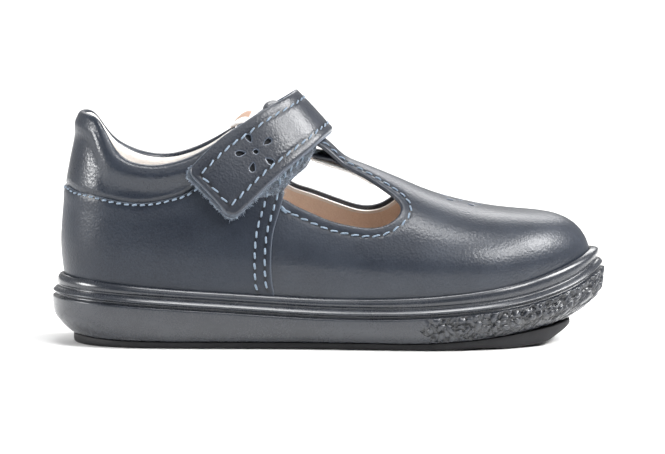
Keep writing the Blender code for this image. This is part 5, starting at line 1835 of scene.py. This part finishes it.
# ---------------------------------------------------------------------------
# Floor, light and camera
# ---------------------------------------------------------------------------
def build_stage():
    mesh = bpy.data.meshes.new("floor")
    s = 4.0
    mesh.from_pydata([(-s, -s, 0), (s, -s, 0), (s, s, 0), (-s, s, 0)], [], [(0, 1, 2, 3)])
    floor = bpy.data.objects.new("floor", mesh)
    bpy.context.scene.collection.objects.link(floor)
    m = Nodes("floor", (0.93, 0.93, 0.925), 0.9)
    m.put("Base Color", m.mix(m.noise(0.002, 2.0), (0.925, 0.925, 0.92), (0.935, 0.935, 0.93)))
    mesh.materials.append(m.mat)

    world = bpy.data.worlds.new("studio")
    bpy.context.scene.world = world
    world.use_nodes = True
    tree = world.node_tree
    back = tree.nodes["Background"]
    back.inputs["Strength"].default_value = 1.0
    co = tree.nodes.new("ShaderNodeTexCoord")
    axes = tree.nodes.new("ShaderNodeSeparateXYZ")
    tree.links.new(co.outputs["Generated"], axes.inputs[0])
    far = tree.nodes.new("ShaderNodeMapRange")
    far.interpolation_type = "SMOOTHSTEP"
    tree.links.new(axes.outputs["Y"], far.inputs[0])
    for i, v in enumerate((-0.75, 0.45, *WORLD)):
        far.inputs[i + 1].default_value = v
    tree.links.new(far.outputs[0], back.inputs["Color"])

    def area(name, place, aim, size, power, colour=(1, 1, 1)):
        lamp = bpy.data.lights.new(name, "AREA")
        lamp.shape = "RECTANGLE"
        lamp.size, lamp.size_y = size
        lamp.energy = power
        lamp.color = colour
        obj = bpy.data.objects.new(name, lamp)
        bpy.context.scene.collection.objects.link(obj)
        obj.location = place
        d = Vector(aim) - Vector(place)
        obj.rotation_euler = d.to_track_quat("-Z", "Y").to_euler()
        return obj
    for row in LIGHTS:
        area(*row)

    cam = bpy.data.cameras.new("camera")
    obj = bpy.data.objects.new("camera", cam)
    bpy.context.scene.collection.objects.link(obj)
    dist, y = 6.0, -0.010
    target = Vector((0.001425 + CENTRE[0] * 0.001, y, (0.03249 - y * S6) / C6))
    obj.location = target + Vector((0, -C6, S6)) * dist
    obj.rotation_euler = (math.radians(90 - 6.0), 0, 0)
    cam.sensor_width = 36.0
    cam.lens = 36.0 * dist / (665 * 0.000285)
    cam.clip_start, cam.clip_end = 0.1, 20.0
    bpy.context.scene.camera = obj
    view = bpy.context.scene.view_settings
    view.view_transform = "Standard"
    view.look = "None"
    view.exposure = 0.0
    view.gamma = 1.0


WORLD = (0.03, 0.36)   # brightness before and behind the shoe
LIGHTS = (
    # name, place, aim, size, power
    ("right", (0.85, -0.05, 0.72), (0.05, 0.0, 0.04), (0.42, 0.42), 12.5),
    ("left", (-1.02, -0.16, 0.33), (-0.06, 0.0, 0.05), (0.3, 0.24), 8.0),
    ("top", (0.06, -0.22, 1.05), (0.0, 0.0, 0.03), (0.5, 0.3), 6.8),
    ("front", (0.6, -0.52, 0.68), (0.0, 0.0, 0.05), (0.36, 0.3), 7.0),
    ("fill", (0.0, -0.85, 0.75), (0.0, 0.0, 0.03), (0.9, 0.4), 1.8),
    ("back", (0.0, 1.3, 0.9), (0.0, 0.9, 0.0), (1.2, 0.6), 10.0),
)
build_stage()
